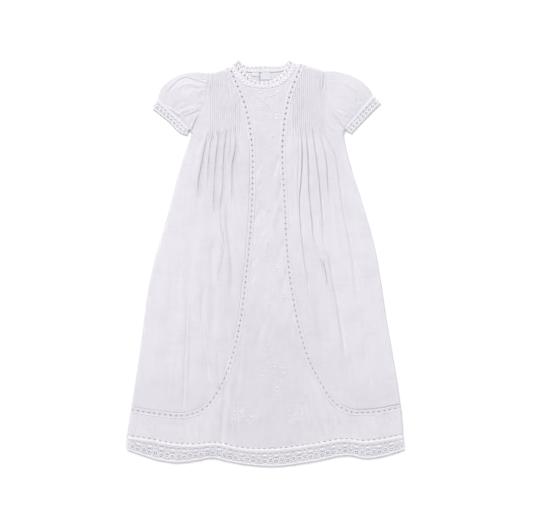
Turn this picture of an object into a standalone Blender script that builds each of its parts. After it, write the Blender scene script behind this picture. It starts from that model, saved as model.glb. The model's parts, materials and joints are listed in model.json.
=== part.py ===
import math

import bmesh
import bpy
from mathutils import Vector
from mathutils.geometry import intersect_line_line_2d

# A lace christening gown laid flat on its back, front up. All numbers are millimetres,
# taken from a point near the middle of the gown: x to its right edge, y to the neck, z up.
# The finished gown is centred on its own bounding box at the end.
GOWN = "christening_gown"
MM = 0.001
WALL = 1.5            # thickness of every cloth wall
GAP = 0.3             # air between neighbouring pieces
FRONT = WALL + GAP    # underside of the front where it lies on the back
TURN = 3.5            # width of the strip where the front rolls down at the outline
INSET = 4.0           # how far the back stays inside the outline
FOLD = 2.6            # width of the rolled edge of a flattened tube
LACE_HALF = 4.5       # half the width of the lace insertion and its seams
TUCK = 0.8            # height of a pintuck
TUCKS = 12            # pintucks on each side of the front
RELEASE = 1.9         # how far the gathers stand up where the tucks let them go
BEADING = 5.0         # width of the beading above the hem lace
SLIT_X = -8.0         # the opening in the back
SLIT_ROWS = 6         # rows of the back panel that the opening runs through
YOKE = (0.0, 0.033, 0.5, 0.93, 1.0)   # rows of the tucked yoke, as shares of its height
SKIRT_ROWS = 12
CENTRE_COLUMNS = 24
CENTRE_ROWS = (0, .03, .07, .12, .17, .23, .29, .35, .41, .47, .53, .59, .65, .70, .74, .775, .81,
               .845, .88, .915, .95)     # rows of the centre panel, as shares of its sewn edge
HEM_ROWS = 3
BACK_YOKE_ROWS = 3
BACK_CHEST_Y = 205.0
BACK_NECK_XS = (-44, -30, -18, SLIT_X - GAP / 2, SLIT_X + GAP / 2, 4, 16, 28, 40)
SLEEVE_ROWS = 8
LACE_STEPS = 104      # points along the lower edge of the hem lace

# Curves of each half of the front. The left half is the one at negative x.
# Every entry is (x, y).
LEFT = {
    "seam": [(-62, 334), (-54, 314), (-34, 266), (-22, 205), (-21, 106), (-30, -14), (-48, -133),
             (-62, -180), (-81, -219), (-102, -243), (-129, -253), (-174, -251), (-221.5, -244)],
    "side": [(-121, 215), (-139, 163), (-161, 79), (-187, -13), (-208, -155), (-221.5, -244),
             (-228, -288), (-230, -310)],
    "armhole": [(-121, 215), (-112, 237), (-105, 254), (-98.5, 267), (-92, 316)],
    "shoulder": [(-92, 316), (-60, 325)],
    "sleeve_top": [(-92, 316), (-109, 317.5), (-127, 317), (-142, 313), (-160, 303), (-173, 289),
                   (-178, 272)],
    "cuff_start": [(-178, 272), (-124.5, 221.5)],
    "cuff_end": [(-181.5, 267), (-128, 217.5)],
    "lace_edge": [(-186.5, 256.4), (-159, 234), (-131, 211.3)],
    "tucks": (-92, -41),
    "corner": (-76, -211),
    "chest": [(-126, 206), (-92, 211), (-41, 223), (-26, 198)],
}
RIGHT = {
    "seam": [(65, 336), (58, 320), (40, 272), (30, 205), (33, 106), (40, -8), (59, -115),
             (74, -163), (93, -199), (113, -229), (138, -246), (177, -248), (226, -240)],
    "side": [(131, 214), (139, 174), (157, 117), (180, 38), (203, -97), (226, -240),
             (230, -286), (232, -310)],
    "armhole": [(131, 214), (121, 232), (112, 247), (104.5, 264), (100, 319)],
    "shoulder": [(100, 319), (77, 327), (52, 331)],
    "sleeve_top": [(100, 319), (118, 318.5), (136, 315), (160, 303), (176, 287), (181, 277.5)],
    "cuff_start": [(181, 277.5), (132.5, 222.5)],
    "cuff_end": [(185, 274), (136.5, 219.5)],
    "lace_edge": [(193, 266), (168, 241), (143.8, 215.4)],
    "tucks": (100, 48),
    "corner": (89, -193),
    "chest": [(136, 205), (100, 211), (48, 223), (34, 198)],
}
# Collar, from the left shoulder to the right one: where it is sewn on and where it ends.
COLLAR = {
    "front_seam": [(-60, 325), (-50, 313.5), (-41, 303), (-28, 294.5), (-8, 291), (20, 294),
                   (34, 302), (44, 313), (49, 322), (52, 331)],
    "front_free": [(-43, 339), (-41, 329), (-32, 319), (-18, 305), (-3, 301), (9, 303), (27, 314),
                   (37, 328), (40, 338)],
    "back_seam": [(-60, 325), (-40, 319.5), (0, 317.5), (35, 321), (52, 331)],
    "back_free": [(-43, 339), (-34, 331), (0, 329.5), (32, 331), (40, 338)],
}
HEM_SEAM = [(-228, -288), (-192, -293), (-160, -299), (-128, -302), (-73, -300), (-48, -306),
            (17, -309), (81, -301), (139, -293), (161, -296), (187, -294), (230, -286)]
HEM_EDGE = [(-230, -310), (-208, -318), (-176, -328), (-144, -332), (-112, -328), (-86, -324),
            (-60, -330), (17, -338), (81, -330), (142, -320), (168, -325), (193, -322),
            (232, -310)]
# How far down the front the middle of each row lies: (share of the seam's length, y).
CENTRE_LINE = [(0.0, 291), (0.08, 247), (0.2, 165), (0.66, -160), (0.78, -228), (1.0, -285)]
# Soft folds of the front: x, y at one end, x, y at the other, half width, height.
FOLDS = [
    (-134, 90, -142, -244, 9, 1.5),
    (-100, 120, -114, -110, 8, 1.1),
    (-168, 40, -190, -236, 11, 1.0),
    (-58, -160, -62, -360, 10, 1.7),
    (-84, -180, -92, -360, 8, 1.3),
    (-14, -240, -18, -360, 12, 0.9),
    (-4, 168, -20, 96, 6, 0.7),
    (12, 60, -14, -30, 7, 0.7),
    (24, 130, 12, 20, 6, 0.6),
    (36, -230, 40, -360, 12, 1.0),
    (98, 60, 132, -176, 9, 1.7),
    (80, 130, 104, -50, 8, 1.1),
    (160, 70, 188, -210, 10, 1.0),
    (88, -190, 112, -350, 9, 1.6),
    (122, -215, 140, -350, 8, 1.4),
    (-196, -250, -200, -350, 10, 1.1),
    (176, -255, 190, -350, 9, 1.2),
]
# Folds let go by the tucks: distance from the gown's middle at the chest, half width, depth.
PLEATS = {
    "left": [(85, 2.0, 1.1), (75, 2.4, 1.7), (66, 2.0, 1.2), (57, 2.2, 1.4), (48.5, 2.4, 1.8),
             (41, 2.0, 1.0)],
    "right": [(94, 2.2, 1.3), (85, 2.2, 1.5), (76, 2.0, 1.2), (68, 2.4, 1.7), (60, 2.0, 1.2),
              (52, 2.2, 1.4)],
}
WOVEN = ("cotton_batiste", (0.80, 0.79, 0.84), 0.85)
NET = ("cotton_lace", (0.78, 0.77, 0.79), 0.9)
TAPE = ("woven_tape", (0.84, 0.84, 0.88), 0.7)


def rounded(points, step=2.0):
    # a smooth line through the points, cut into pieces about one step long
    points = [Vector(p) for p in points]
    spans = [(b - a).length for a, b in zip(points, points[1:])]
    slopes = []
    for k in range(len(points)):
        before = max(k - 1, 0)
        after = min(k, len(spans) - 1)
        into = (points[before + 1] - points[before]) / spans[before]
        out = (points[after + 1] - points[after]) / spans[after]
        total = spans[before] + spans[after]
        slopes.append((into * spans[after] + out * spans[before]) / total)
    line = []
    for k, span in enumerate(spans):
        count = max(1, round(span / step))
        for n in range(count):
            t = n / count
            ease = t * t * (3 - 2 * t)
            leave = t * (1 - t) ** 2 * span
            arrive = t * t * (t - 1) * span
            line.append(points[k] * (1 - ease) + points[k + 1] * ease
                        + slopes[k] * leave + slopes[k + 1] * arrive)
    line.append(points[-1])
    return line


def length(line):
    return sum((b - a).length for a, b in zip(line, line[1:]))


def along(line, share):
    # the point a given share of the way along a line
    left = share * length(line)
    for a, b in zip(line, line[1:]):
        span = (b - a).length
        if left <= span:
            return a.lerp(b, left / span if span else 0.0)
        left -= span
    return line[-1].copy()


def shifted(line, distance):
    # the line moved sideways, to the left of its direction when distance is positive
    moved = []
    for k, point in enumerate(line):
        way = (line[min(k + 1, len(line) - 1)] - line[max(k - 1, 0)]).normalized()
        moved.append(point + Vector((-way.y, way.x)) * distance)
    return moved


def after_crossing(line, fence):
    # the part of a line that lies beyond a fence, starting on it
    for k in range(len(line) - 1):
        for a, b in zip(fence, fence[1:]):
            hit = intersect_line_line_2d(line[k], line[k + 1], a, b)
            if hit:
                return [hit] + line[k + 1:]
    return line


def before_nearest(line, target):
    # the line up to its point nearest the target, and the rest of it from that point on
    nearest = min(range(len(line)), key=lambda k: (line[k] - Vector(target)).length)
    return line[:nearest + 1], line[nearest:]


def height_at(line, x):
    # y where a line that runs across passes x
    for a, b in zip(line, line[1:]):
        if min(a.x, b.x) <= x <= max(a.x, b.x) and a.x != b.x:
            return a.y + (b.y - a.y) * (x - a.x) / (b.x - a.x)
    return min((line[0], line[-1]), key=lambda p: abs(p.x - x)).y


def from_table(table, value):
    # straight line between the rows of a two-column table
    for (a, low), (b, high) in zip(table, table[1:]):
        if value <= b:
            return low + (high - low) * max(0.0, value - a) / (b - a)
    return table[-1][1]


def patch(top, bottom, start, end, u, v):
    # a point inside four border lines: u runs along top and bottom, v along start and end
    # top and bottom are given at this u, start and end at this v, corners come last
    (top_u, top_a, top_b), (bottom_u, bottom_a, bottom_b) = top, bottom
    across = start * (1 - u) + end * u
    down = top_u * (1 - v) + bottom_u * v
    corners = (top_a * (1 - u) + top_b * u) * (1 - v) + (bottom_a * (1 - u) + bottom_b * u) * v
    return across + down - corners


def soft_folds(x, y):
    rise = 0.0
    for x0, y0, x1, y1, half_width, height in FOLDS:
        run = Vector((x1 - x0, y1 - y0))
        here = Vector((x - x0, y - y0))
        share = here.dot(run) / run.length_squared
        if 0 < share < 1:
            away = (here.x * run.y - here.y * run.x) / run.length
            rise += height * math.sin(math.pi * share) ** 0.6 * math.exp(-(away / half_width) ** 2)
    return rise


def front_point(point, extra=0.0):
    # a point on the underside of the front
    return Vector((point.x, point.y, FRONT + soft_folds(point.x, point.y) + extra))


def raised(rows, amount=WALL):
    return [[p + Vector((0, 0, amount)) for p in row] for row in rows]


def finish(name, mesh, look):
    # turn the shape into a named piece with its own plain material
    bmesh.ops.recalc_face_normals(mesh, faces=mesh.faces)
    bmesh.ops.scale(mesh, vec=(MM, MM, MM), verts=mesh.verts)
    data = bpy.data.meshes.new(name)
    mesh.to_mesh(data)
    mesh.free()
    piece = bpy.data.objects.new(name, data)
    collection.objects.link(piece)
    material_name, colour, roughness = look
    material = bpy.data.materials.get(material_name) or bpy.data.materials.new(material_name)
    material.use_nodes = True
    shader = material.node_tree.nodes["Principled BSDF"]
    shader.inputs["Base Color"].default_value = (*colour, 1)
    shader.inputs["Roughness"].default_value = roughness
    shader.inputs["Metallic"].default_value = 0
    data.materials.append(material)


def thicken(mesh, number, outside):
    # push a copy of the sheet out to its other side, with a rim all round
    result = bmesh.ops.extrude_face_region(mesh, geom=mesh.faces[:], use_keep_orig=True)
    for item in result["geom"]:
        if isinstance(item, bmesh.types.BMVert):
            item.co = outside[item[number]]


def cloth(name, inside, outside, look, slit=None):
    # a wall between two grids of points, each a list of rows
    mesh = bmesh.new()
    bmesh.ops.create_grid(mesh, x_segments=len(inside[0]) - 1, y_segments=len(inside) - 1, size=1)
    number = mesh.verts.layers.int.new("number")
    order = sorted(mesh.verts, key=lambda v: (round(v.co.y, 5), round(v.co.x, 5)))
    flat_inside = [p for row in inside for p in row]
    for k, vert in enumerate(order):
        vert[number] = k
    if slit:
        column, rows = slit
        wide = len(inside[0])
        cut = []
        for face in mesh.faces:
            first = min(v[number] for v in face.verts)
            if first % wide == column and first // wide < rows:
                cut.append(face)
        bmesh.ops.delete(mesh, geom=cut, context="FACES")
    for vert in mesh.verts:
        vert.co = flat_inside[vert[number]]
    bmesh.ops.remove_doubles(mesh, verts=mesh.verts, dist=0.0001)
    thicken(mesh, number, [p for row in outside for p in row])
    finish(name, mesh, look)


def ribbon(name, one_edge, other_edge, look):
    # a strip of cloth between two edges that need not have the same number of points
    loop = one_edge + other_edge[::-1]
    mesh = bmesh.new()
    number = mesh.verts.layers.int.new("number")
    for k, point in enumerate(loop):
        vert = mesh.verts.new((point.x, point.y, 0))
        vert[number] = k
    face = mesh.faces.new(mesh.verts)
    face.normal_update()
    bmesh.ops.triangulate(mesh, faces=[face])
    for vert in mesh.verts:
        vert.co = loop[vert[number]]
    thicken(mesh, number, [p + Vector((0, 0, WALL)) for p in loop])
    finish(name, mesh, look)


def tube_ring(front, back, lifts):
    # one ring of a flattened tube: the points of its upper leaf and of its lower leaf, both
    # from the first fold to the second, and how far each upper point stands off the lower leaf
    def leaf(points):
        first, last = points[0], points[-1]
        start = first + (points[1] - first).normalized() * FOLD
        stop = last + (points[-2] - last).normalized() * FOLD
        return [start] + points[1:-1] + [stop]
    upper, lower = leaf(front), leaf(back)
    middle = (FRONT + WALL) / 2
    inner = [Vector((*upper[0].lerp(front[0], 0.06), middle))]
    outer = [Vector((*front[0], middle))]
    for point, lift in zip(upper, lifts):
        inner.append(Vector((*point, FRONT + lift)))
        outer.append(Vector((*point, FRONT + lift + WALL)))
    inner.append(Vector((*upper[-1].lerp(front[-1], 0.06), middle)))
    outer.append(Vector((*front[-1], middle)))
    for point in lower[::-1]:
        inner.append(Vector((*point, WALL)))
        outer.append(Vector((*point, 0)))
    return inner, outer


bpy.ops.object.select_all(action="DESELECT")
for old in list(bpy.data.objects):
    bpy.data.objects.remove(old, do_unlink=True)
collection = bpy.data.collections.new(GOWN)
bpy.context.scene.collection.children.link(collection)

collar_seam = rounded(COLLAR["front_seam"])
left_shoulder = [Vector(p) for p in LEFT["shoulder"]]
right_shoulder = [Vector(p) for p in RIGHT["shoulder"]]
fence = left_shoulder[:-1] + collar_seam + right_shoulder[-2::-1]
hem_line = rounded(HEM_SEAM)
hem_edge = rounded(HEM_EDGE)


def side_front(name, half, sign, pleats):
    # the tucked and gathered panel between the side seam and the lace insertion
    # returns the line its sewn edge follows, from the neck to the side seam
    seam = rounded(half["seam"])
    outer = after_crossing(shifted(seam, sign * LACE_HALF), fence)
    side = rounded(half["side"])
    armhole = [Vector(p) for p in half["armhole"]]
    chest = [Vector(p) for p in half["chest"]]
    start, stop = half["tucks"]

    side_chest = min(side, key=lambda p: abs(p.y - chest[0].y))
    inner_chest = min(outer, key=lambda p: abs(p.y - chest[-1].y))
    inner_top = min(outer, key=lambda p: abs(p.y - inner_chest.y - 9))
    columns = [(armhole[0], side_chest)]
    turned = side_chest.x - sign * TURN
    columns.append((armhole[0].lerp(armhole[1], 0.3), Vector((turned, height_at(chest, turned)))))
    for point in armhole[1:]:
        columns.append((point, Vector((point.x, height_at(chest, point.x)))))
    first_tuck = len(columns) - 1
    pitch = (stop - start) / (2 * TUCKS)
    places = [start + pitch * k for k in range(1, 2 * TUCKS + 1)]
    places += [stop + (inner_top.x - stop) * share for share in (0.36, 0.7)]
    corner = min(range(len(places)), key=lambda k: abs(places[k] - outer[0].x))
    places[corner] = outer[0].x
    for x in places:
        if abs(x) > abs(outer[0].x) + 0.01:
            top = Vector((x, height_at(fence, x)))
        elif abs(abs(x) - abs(outer[0].x)) < 0.01:
            top = outer[0].copy()
        else:
            top = Vector((x, height_at(outer[:outer.index(inner_chest)], x)))
        columns.append((top, Vector((x, height_at(chest, x)))))
    columns.append((inner_top, inner_chest))

    down, sweep = before_nearest(outer[outer.index(inner_chest):], half["corner"])
    side_down = before_nearest(side[side.index(side_chest):], outer[-1])[0][:-1] + [outer[-1]]
    span = columns[-1][1].x - columns[0][1].x
    sweep_length = length(sweep)
    inside = []
    bottoms = []
    for share in YOKE:
        inside.append([top.lerp(low, share) for top, low in columns])
    for j in range(1, SKIRT_ROWS + 1):
        v = j / SKIRT_ROWS
        row = []
        for k, (_, low) in enumerate(columns):
            u = (low.x - columns[0][1].x) / span
            reach = TURN / sweep_length if k == 1 else u
            bottom = along(sweep, 1 - reach)
            row.append(patch((low, columns[0][1], columns[-1][1]),
                             (bottom, sweep[-1], sweep[0]),
                             along(side_down, v), along(down, v), u, v))
            if j == SKIRT_ROWS:
                row[-1] = bottom
                bottoms.append(bottom)
        if j < SKIRT_ROWS:
            row[1] = row[0] + (row[2] - row[0]).normalized() * TURN
        inside.append(row)

    rows_in, rows_out = [], []
    for j, row in enumerate(inside):
        v = max(0, j - len(YOKE) + 1) / SKIRT_ROWS
        in_row, out_row = [], []
        for k, point in enumerate(row):
            away = abs(columns[k][1].x)
            gather = 0.0
            if j >= len(YOKE) - 1:
                edge = min(1, (abs(columns[0][1].x) - away) / 18, (away - abs(inner_chest.x)) / 9)
                strength = (0.35 + 6 * v if v < 0.1 else math.exp(-(v - 0.08) * 2.6)) * edge
                gather = RELEASE
                for place, half_width, depth in pleats:
                    gather -= depth * math.exp(-((away - place) / half_width) ** 2)
                gather *= strength * (1 - v) ** 0.4
            rolled = k == 0 or (j == 0 and abs(point.x) > abs(outer[0].x) + 0.01
                                and k > first_tuck)
            low = front_point(point, max(0.0, gather))
            if rolled:
                low.z = 0.0
            tuck = 0.0
            tucked = first_tuck < k < first_tuck + 2 * TUCKS and (k - first_tuck) % 2
            if tucked and 0 < j < len(YOKE) - 1:
                tuck = TUCK
            in_row.append(low)
            out_row.append(low + Vector((0, 0, WALL + tuck)))
        rows_in.append(in_row)
        rows_out.append(out_row)
    cloth(name, rows_in, rows_out, WOVEN)

    edge = [top for top, _ in columns[first_tuck:] if abs(top.x) <= abs(outer[0].x) + 0.01]
    edge += [inner_chest] + [row[-1] for row in inside[len(YOKE):]] + bottoms[-2::-1]
    return edge


def column_shares(width):
    # where the columns of the centre panel lie across a row this wide
    turn = TURN / width
    count = CENTRE_COLUMNS - 2
    return [0] + [turn + (1 - 2 * turn) * k / count for k in range(count + 1)] + [1]


def centre_front():
    # the embroidered middle panel and the band it widens into above the hem, one piece of cloth
    # returns its two sewn edges and its lower edge
    left = after_crossing(shifted(rounded(LEFT["seam"]), LACE_HALF), fence)
    right = after_crossing(shifted(rounded(RIGHT["seam"]), -LACE_HALF), fence)
    neck = [p for p in fence if left[0].x < p.x < right[0].x and
            (p.y < left[0].y or p.x > 0)]
    neck = [left[0]] + neck + [right[0]]
    shares = list(CENTRE_ROWS) + [1 - TURN / length(left), 1]
    rows = []
    for share in shares:
        a, b = along(left, share), along(right, share)
        if share == 0:
            row = [along(neck, u) for u in column_shares(length(neck))]
            row = [row[0]] + [p - Vector((0, GAP)) for p in row[1:-1]] + [row[-1]]
        else:
            dip = from_table(CENTRE_LINE, share) - (a.y + b.y) / 2
            row = []
            for u in column_shares(b.x - a.x):
                point = a.lerp(b, u)
                point.y += dip * 4 * u * (1 - u)
                row.append(point)
        rows.append(row)
    last = rows[-1]
    ends = (hem_line[0], hem_line[-1])
    for n in range(1, HEM_ROWS + 1):
        t = n / HEM_ROWS
        row = []
        for k, u in enumerate(column_shares(ends[1].x - ends[0].x)):
            x = ends[0].x + (ends[1].x - ends[0].x) * u
            row.append(last[k].lerp(Vector((x, height_at(hem_line, x))), t))
        rows.append(row)
    inside = []
    for j, row in enumerate(rows):
        line = [front_point(p) for p in row]
        if j >= len(shares) - 1:
            line[0].z = line[-1].z = 0.0
        inside.append(line)
    cloth("front_centre", inside, raised(inside), WOVEN)
    edges = [[row[0] for row in rows[:len(shares)]], [row[-1] for row in rows[:len(shares)]]]
    return edges[0], edges[1], rows[-1]


def insertion(name, outer, inner, sign):
    # the strip of lace let in between two panels, with the same points as their edges
    def settle(line):
        points = [front_point(p) for p in line]
        points[-1].z = 0.0
        first = (points[1] - points[0]).normalized() * GAP
        points[0] += first
        return points
    ribbon(name, settle(shifted(outer, -sign * GAP)), settle(shifted(inner, sign * GAP)), NET)


left_outer = side_front("side_front_left", LEFT, -1, PLEATS["left"])
right_outer = side_front("side_front_right", RIGHT, 1, PLEATS["right"])
left_inner, right_inner, hem_row = centre_front()
insertion("insertion_left", left_outer, left_inner, -1)
insertion("insertion_right", right_outer, right_inner, 1)


def hem_strips(which, row, on_top, short):
    # the beading and the gathered lace below the cloth, from the points of its lower edge
    def strip(points):
        placed = [front_point(p) if on_top else Vector((*p, 0)) for p in points]
        placed[0].z = placed[-1].z = 0.0
        return placed
    upper = [p - Vector((0, GAP)) for p in row]
    lower = [p - Vector((0, BEADING)) for p in row]
    ribbon("hem_beading_" + which, strip(upper), strip(lower), NET)
    join = [p - Vector((0, BEADING + GAP)) for p in row]
    first, last = row[0].x - (2 - short) * 0.9, row[-1].x + (2 - short) * 0.9
    edge = []
    for k in range(LACE_STEPS + 1):
        x = first + TURN + (last - first - 2 * TURN) * k / LACE_STEPS
        edge.append(Vector((x, height_at(hem_edge, x) + short + 0.4 * math.cos(math.pi * k))))
    edge = [Vector((first, height_at(hem_edge, first) + short))] + edge
    edge.append(Vector((last, height_at(hem_edge, last) + short)))
    edge = strip(edge)
    if on_top:
        for k, point in enumerate(edge[2:-2]):
            point.z += 0.35 * (1 + math.sin(k * 1.2))
    ribbon("hem_lace_" + which, strip(join), edge, NET)


hem_strips("front", hem_row, True, 0.0)


def back_panel():
    # the plain back, open down the middle from the neck
    # returns the points of its lower edge
    neck = rounded(COLLAR["back_seam"])
    tops = []
    for half in (LEFT, RIGHT):
        armhole = [Vector(p) for p in half["armhole"]]
        shoulder = [Vector(p) for p in half["shoulder"]]
        run = [armhole[0].lerp(armhole[1], 0.42)] + armhole[1:-1]
        corner = armhole[-2].lerp(armhole[-1], 1 - INSET / (armhole[-1] - armhole[-2]).length)
        run.append(corner)
        middle = along(shoulder, 0.5)
        run += [middle - Vector((0, INSET)), shoulder[-1] - Vector((0, INSET))]
        tops.append(run)
    across = [Vector((x, height_at(neck, x) - GAP)) for x in BACK_NECK_XS]
    columns = tops[0] + across + tops[1][::-1]
    slit_column = len(tops[0]) + BACK_NECK_XS.index(SLIT_X - GAP / 2)

    borders = []
    for half, sign in ((LEFT, -1), (RIGHT, 1)):
        side = shifted(rounded(half["side"]), sign * -INSET)
        side = [p for p in side if p.y < BACK_CHEST_Y]
        borders.append([p for p in side if p.y > height_at(hem_line, p.x)])
    left, right = borders
    left[-1].y = height_at(hem_line, left[-1].x)
    right[-1].y = height_at(hem_line, right[-1].x)
    rows = []
    lows = []
    for k, top in enumerate(columns):
        if k == 0:
            lows.append(left[0])
        elif k == len(columns) - 1:
            lows.append(right[0])
        else:
            lows.append(Vector((top.x, BACK_CHEST_Y)))
    for n in range(BACK_YOKE_ROWS):
        rows.append([top.lerp(low, n / BACK_YOKE_ROWS) for top, low in zip(columns, lows)])
    span = right[0].x - left[0].x
    for j in range(SKIRT_ROWS + 1):
        v = j / SKIRT_ROWS
        row = []
        for low in lows:
            u = (low.x - left[0].x) / span
            x = left[-1].x + (right[-1].x - left[-1].x) * u
            bottom = Vector((x, height_at(hem_line, x)))
            row.append(patch((low, left[0], right[0]), (bottom, left[-1], right[-1]),
                             along(left, v), along(right, v), u, v))
        rows.append(row)
    inside = [[Vector((*p, 0)) for p in row] for row in rows]
    cloth("back", inside, raised(inside), WOVEN, slit=(slit_column, SLIT_ROWS))
    return rows[-1]


hem_strips("back", back_panel(), False, 2.0)


def joined(ring):
    return ring + [ring[0]]


def subdivided(points, most):
    # the same line with no stretch between two points longer than asked
    line = [points[0]]
    for a, b in zip(points, points[1:]):
        count = max(1, math.ceil((b - a).length / most))
        line += [a.lerp(b, n / count) for n in range(1, count + 1)]
    return line


def shares_of(points):
    total = length(points)
    return [length(points[:k + 1]) / total for k in range(len(points))]


def sleeve(name, half, sign):
    # the puffed sleeve, its narrow cuff and the lace on the cuff, three flattened tubes
    armhole = shifted([Vector(p) for p in half["armhole"]], -sign * GAP)[::-1]
    upper = subdivided(armhole, 9)
    cuff = [Vector(p) for p in half["cuff_start"]]
    top_fold = rounded(half["sleeve_top"])
    top_fold[0] = armhole[0]
    bottom_fold = [armhole[-1], cuff[-1]]
    inside, outside = [], []
    for j in range(SLEEVE_ROWS + 1):
        v = j / SLEEVE_ROWS
        leaves = []
        for line in (upper, armhole):
            leaf = []
            for point, u in zip(line, shares_of(line)):
                leaf.append(patch((point, armhole[0], armhole[-1]),
                                  (cuff[0].lerp(cuff[1], u), cuff[0], cuff[1]),
                                  along(top_fold, v), along(bottom_fold, v), u, v))
            leaves.append(leaf)
        lifts = []
        for k, u in enumerate(shares_of(upper)):
            puff = math.sin(math.pi * u) ** 0.6 * (0.2 + 2.5 * math.sin(math.pi * (0.1 + 0.8 * v)))
            crease = 0.45 * (1 + math.cos(k * 2.3 + 0.6 * v)) * math.sin(math.pi * u) ** 0.5
            lifts.append(max(0.0, puff) + crease)
        inner, outer = tube_ring(leaves[0], leaves[1], lifts)
        inside.append(joined(inner))
        outside.append(joined(outer))
    cloth("sleeve_" + name, inside, outside, WOVEN)

    def band(piece, start, end, count, wave, look):
        rows_in, rows_out = [], []
        for n, line in enumerate((start, end)):
            leaves = [[along(line, k / most) for k in range(most + 1)] for most in (count, 6)]
            lifts = []
            for k in range(count + 1):
                ripple = wave * n * (1 + math.sin(k * 1.5)) if 0 < k < count else 0.0
                lifts.append(ripple + 0.6 * math.sin(math.pi * k / count))
            inner, outer = tube_ring(leaves[0], leaves[1], lifts)
            rows_in.append(joined(inner))
            rows_out.append(joined(outer))
        cloth(piece, rows_in, rows_out, look)

    cuff_end = [Vector(p) for p in half["cuff_end"]]
    lace_edge = [Vector(p) for p in half["lace_edge"]]
    band("cuff_" + name, shifted(cuff, sign * GAP), cuff_end, 10, 0.0, TAPE)
    band("sleeve_lace_" + name, shifted(cuff_end, sign * GAP), lace_edge, 34, 0.4, NET)


sleeve("left", LEFT, -1)
sleeve("right", RIGHT, 1)


def collar():
    # the lace band round the neck and the ruffle above it, open at the middle of the back
    front_seam, front_free = rounded(COLLAR["front_seam"]), rounded(COLLAR["front_free"])
    back_seam, back_free = rounded(COLLAR["back_seam"]), rounded(COLLAR["back_free"])

    def band(name, start, end, count_front, count_back, wave, look):
        rows_in, rows_out = [], []
        for n, share in enumerate((start, end)):
            front, back = [], []
            for k in range(count_front + 1):
                t = k / count_front
                front.append(along(front_seam, t).lerp(along(front_free, t), share))
            for k in range(count_back + 1):
                t = k / count_back
                back.append(along(back_seam, t).lerp(along(back_free, t), share))
            gap_at = min(range(len(back)), key=lambda k: abs(back[k].x - SLIT_X))
            back[gap_at].x = SLIT_X
            lifts = []
            for k in range(count_front + 1):
                ripple = wave * n * (1 + math.sin(k * 1.6)) if 0 < k < count_front else 0.0
                lifts.append(ripple)
            inner, outer = tube_ring(front, back, lifts)
            turn = len(front) + 2 + (len(back) - 1 - gap_at)
            for ring, rows in ((inner, rows_in), (outer, rows_out)):
                opened = ring[turn:] + ring[:turn + 1]
                opened[0] = opened[0] + Vector((-GAP / 2, 0, 0))
                opened[-1] = opened[-1] + Vector((GAP / 2, 0, 0))
                rows.append(opened)
        cloth(name, rows_in, rows_out, look)

    band("neck_band", 0.03, 0.49, 30, 14, 0.0, NET)
    band("neck_ruffle", 0.52, 1.0, 52, 26, 0.35, NET)


collar()


def label(name, left, right, low, high):
    rows = [[Vector((x, y, FRONT)) for x in (left, right)] for y in (low, high)]
    cloth(name, rows, raised(rows, 1.0), TAPE)


label("label_left", -21, -9.5, 310.5, 317)
label("label_right", -6, 10, 304.5, 317)

pieces = [piece for piece in collection.objects]
corners = [v.co for piece in pieces for v in piece.data.vertices]
centre = Vector(((max(c.x for c in corners) + min(c.x for c in corners)) / 2,
                 (max(c.y for c in corners) + min(c.y for c in corners)) / 2, 0))
for piece in pieces:
    for vert in piece.data.vertices:
        vert.co -= centre
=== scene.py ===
import json
import math

import bmesh
import bpy
import numpy as np
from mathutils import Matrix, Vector, noise
from mathutils.geometry import intersect_line_line_2d

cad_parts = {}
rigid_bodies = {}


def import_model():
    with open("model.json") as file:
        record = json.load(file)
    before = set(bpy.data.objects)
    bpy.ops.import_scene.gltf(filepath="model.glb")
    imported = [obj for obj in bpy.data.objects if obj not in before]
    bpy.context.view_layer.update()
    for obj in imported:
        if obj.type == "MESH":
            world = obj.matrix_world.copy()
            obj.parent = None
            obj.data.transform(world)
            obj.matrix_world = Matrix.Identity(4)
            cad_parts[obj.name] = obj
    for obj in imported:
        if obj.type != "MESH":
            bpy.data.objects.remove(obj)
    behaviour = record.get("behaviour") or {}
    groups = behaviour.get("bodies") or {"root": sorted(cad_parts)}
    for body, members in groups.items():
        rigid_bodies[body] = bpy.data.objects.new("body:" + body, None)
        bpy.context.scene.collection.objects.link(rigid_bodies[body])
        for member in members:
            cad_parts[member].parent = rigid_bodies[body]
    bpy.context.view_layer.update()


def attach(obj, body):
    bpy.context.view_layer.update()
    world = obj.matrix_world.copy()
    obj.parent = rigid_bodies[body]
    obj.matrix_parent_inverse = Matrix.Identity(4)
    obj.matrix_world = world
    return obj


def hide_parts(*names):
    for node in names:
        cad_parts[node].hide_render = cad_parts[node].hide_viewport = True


for spare in list(bpy.data.objects):      # what a new file comes with
    bpy.data.objects.remove(spare)
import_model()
bpy.ops.object.select_all(action="DESELECT")
print("gown loaded")

# Everything is measured in millimetres on the gown as it lies: x to its right edge, y to the
# neck, z up from the table. gownCentre is the middle of the gown in those numbers.
gownCentre = (1.0, 0.36)
photo = {"mmPerPixel": 1.6606, "middle": (264.7, 262.9), "width": 533}
layers = {
    "backTop": 0.5,        # upper side of the back, which lies on the table
    "frontTop": 3.3,       # upper side of the front where nothing lifts it
    "cloth": 0.4,          # thickness of the batiste
    "lace": 0.5,           # thickness of the lace
    "turn": 2.4,           # width of the strip where the front rolls down at the outline
    "fold": 1.9,           # width of the rolled edge of a flattened sleeve or collar
    "laceHalf": 4.5,       # half the width of the lace insertion and its seams
    "gap": 0.3,            # air between neighbouring pieces
    "lap": 0.35,           # how far lace is sewn over the cloth's edge
}

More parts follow.
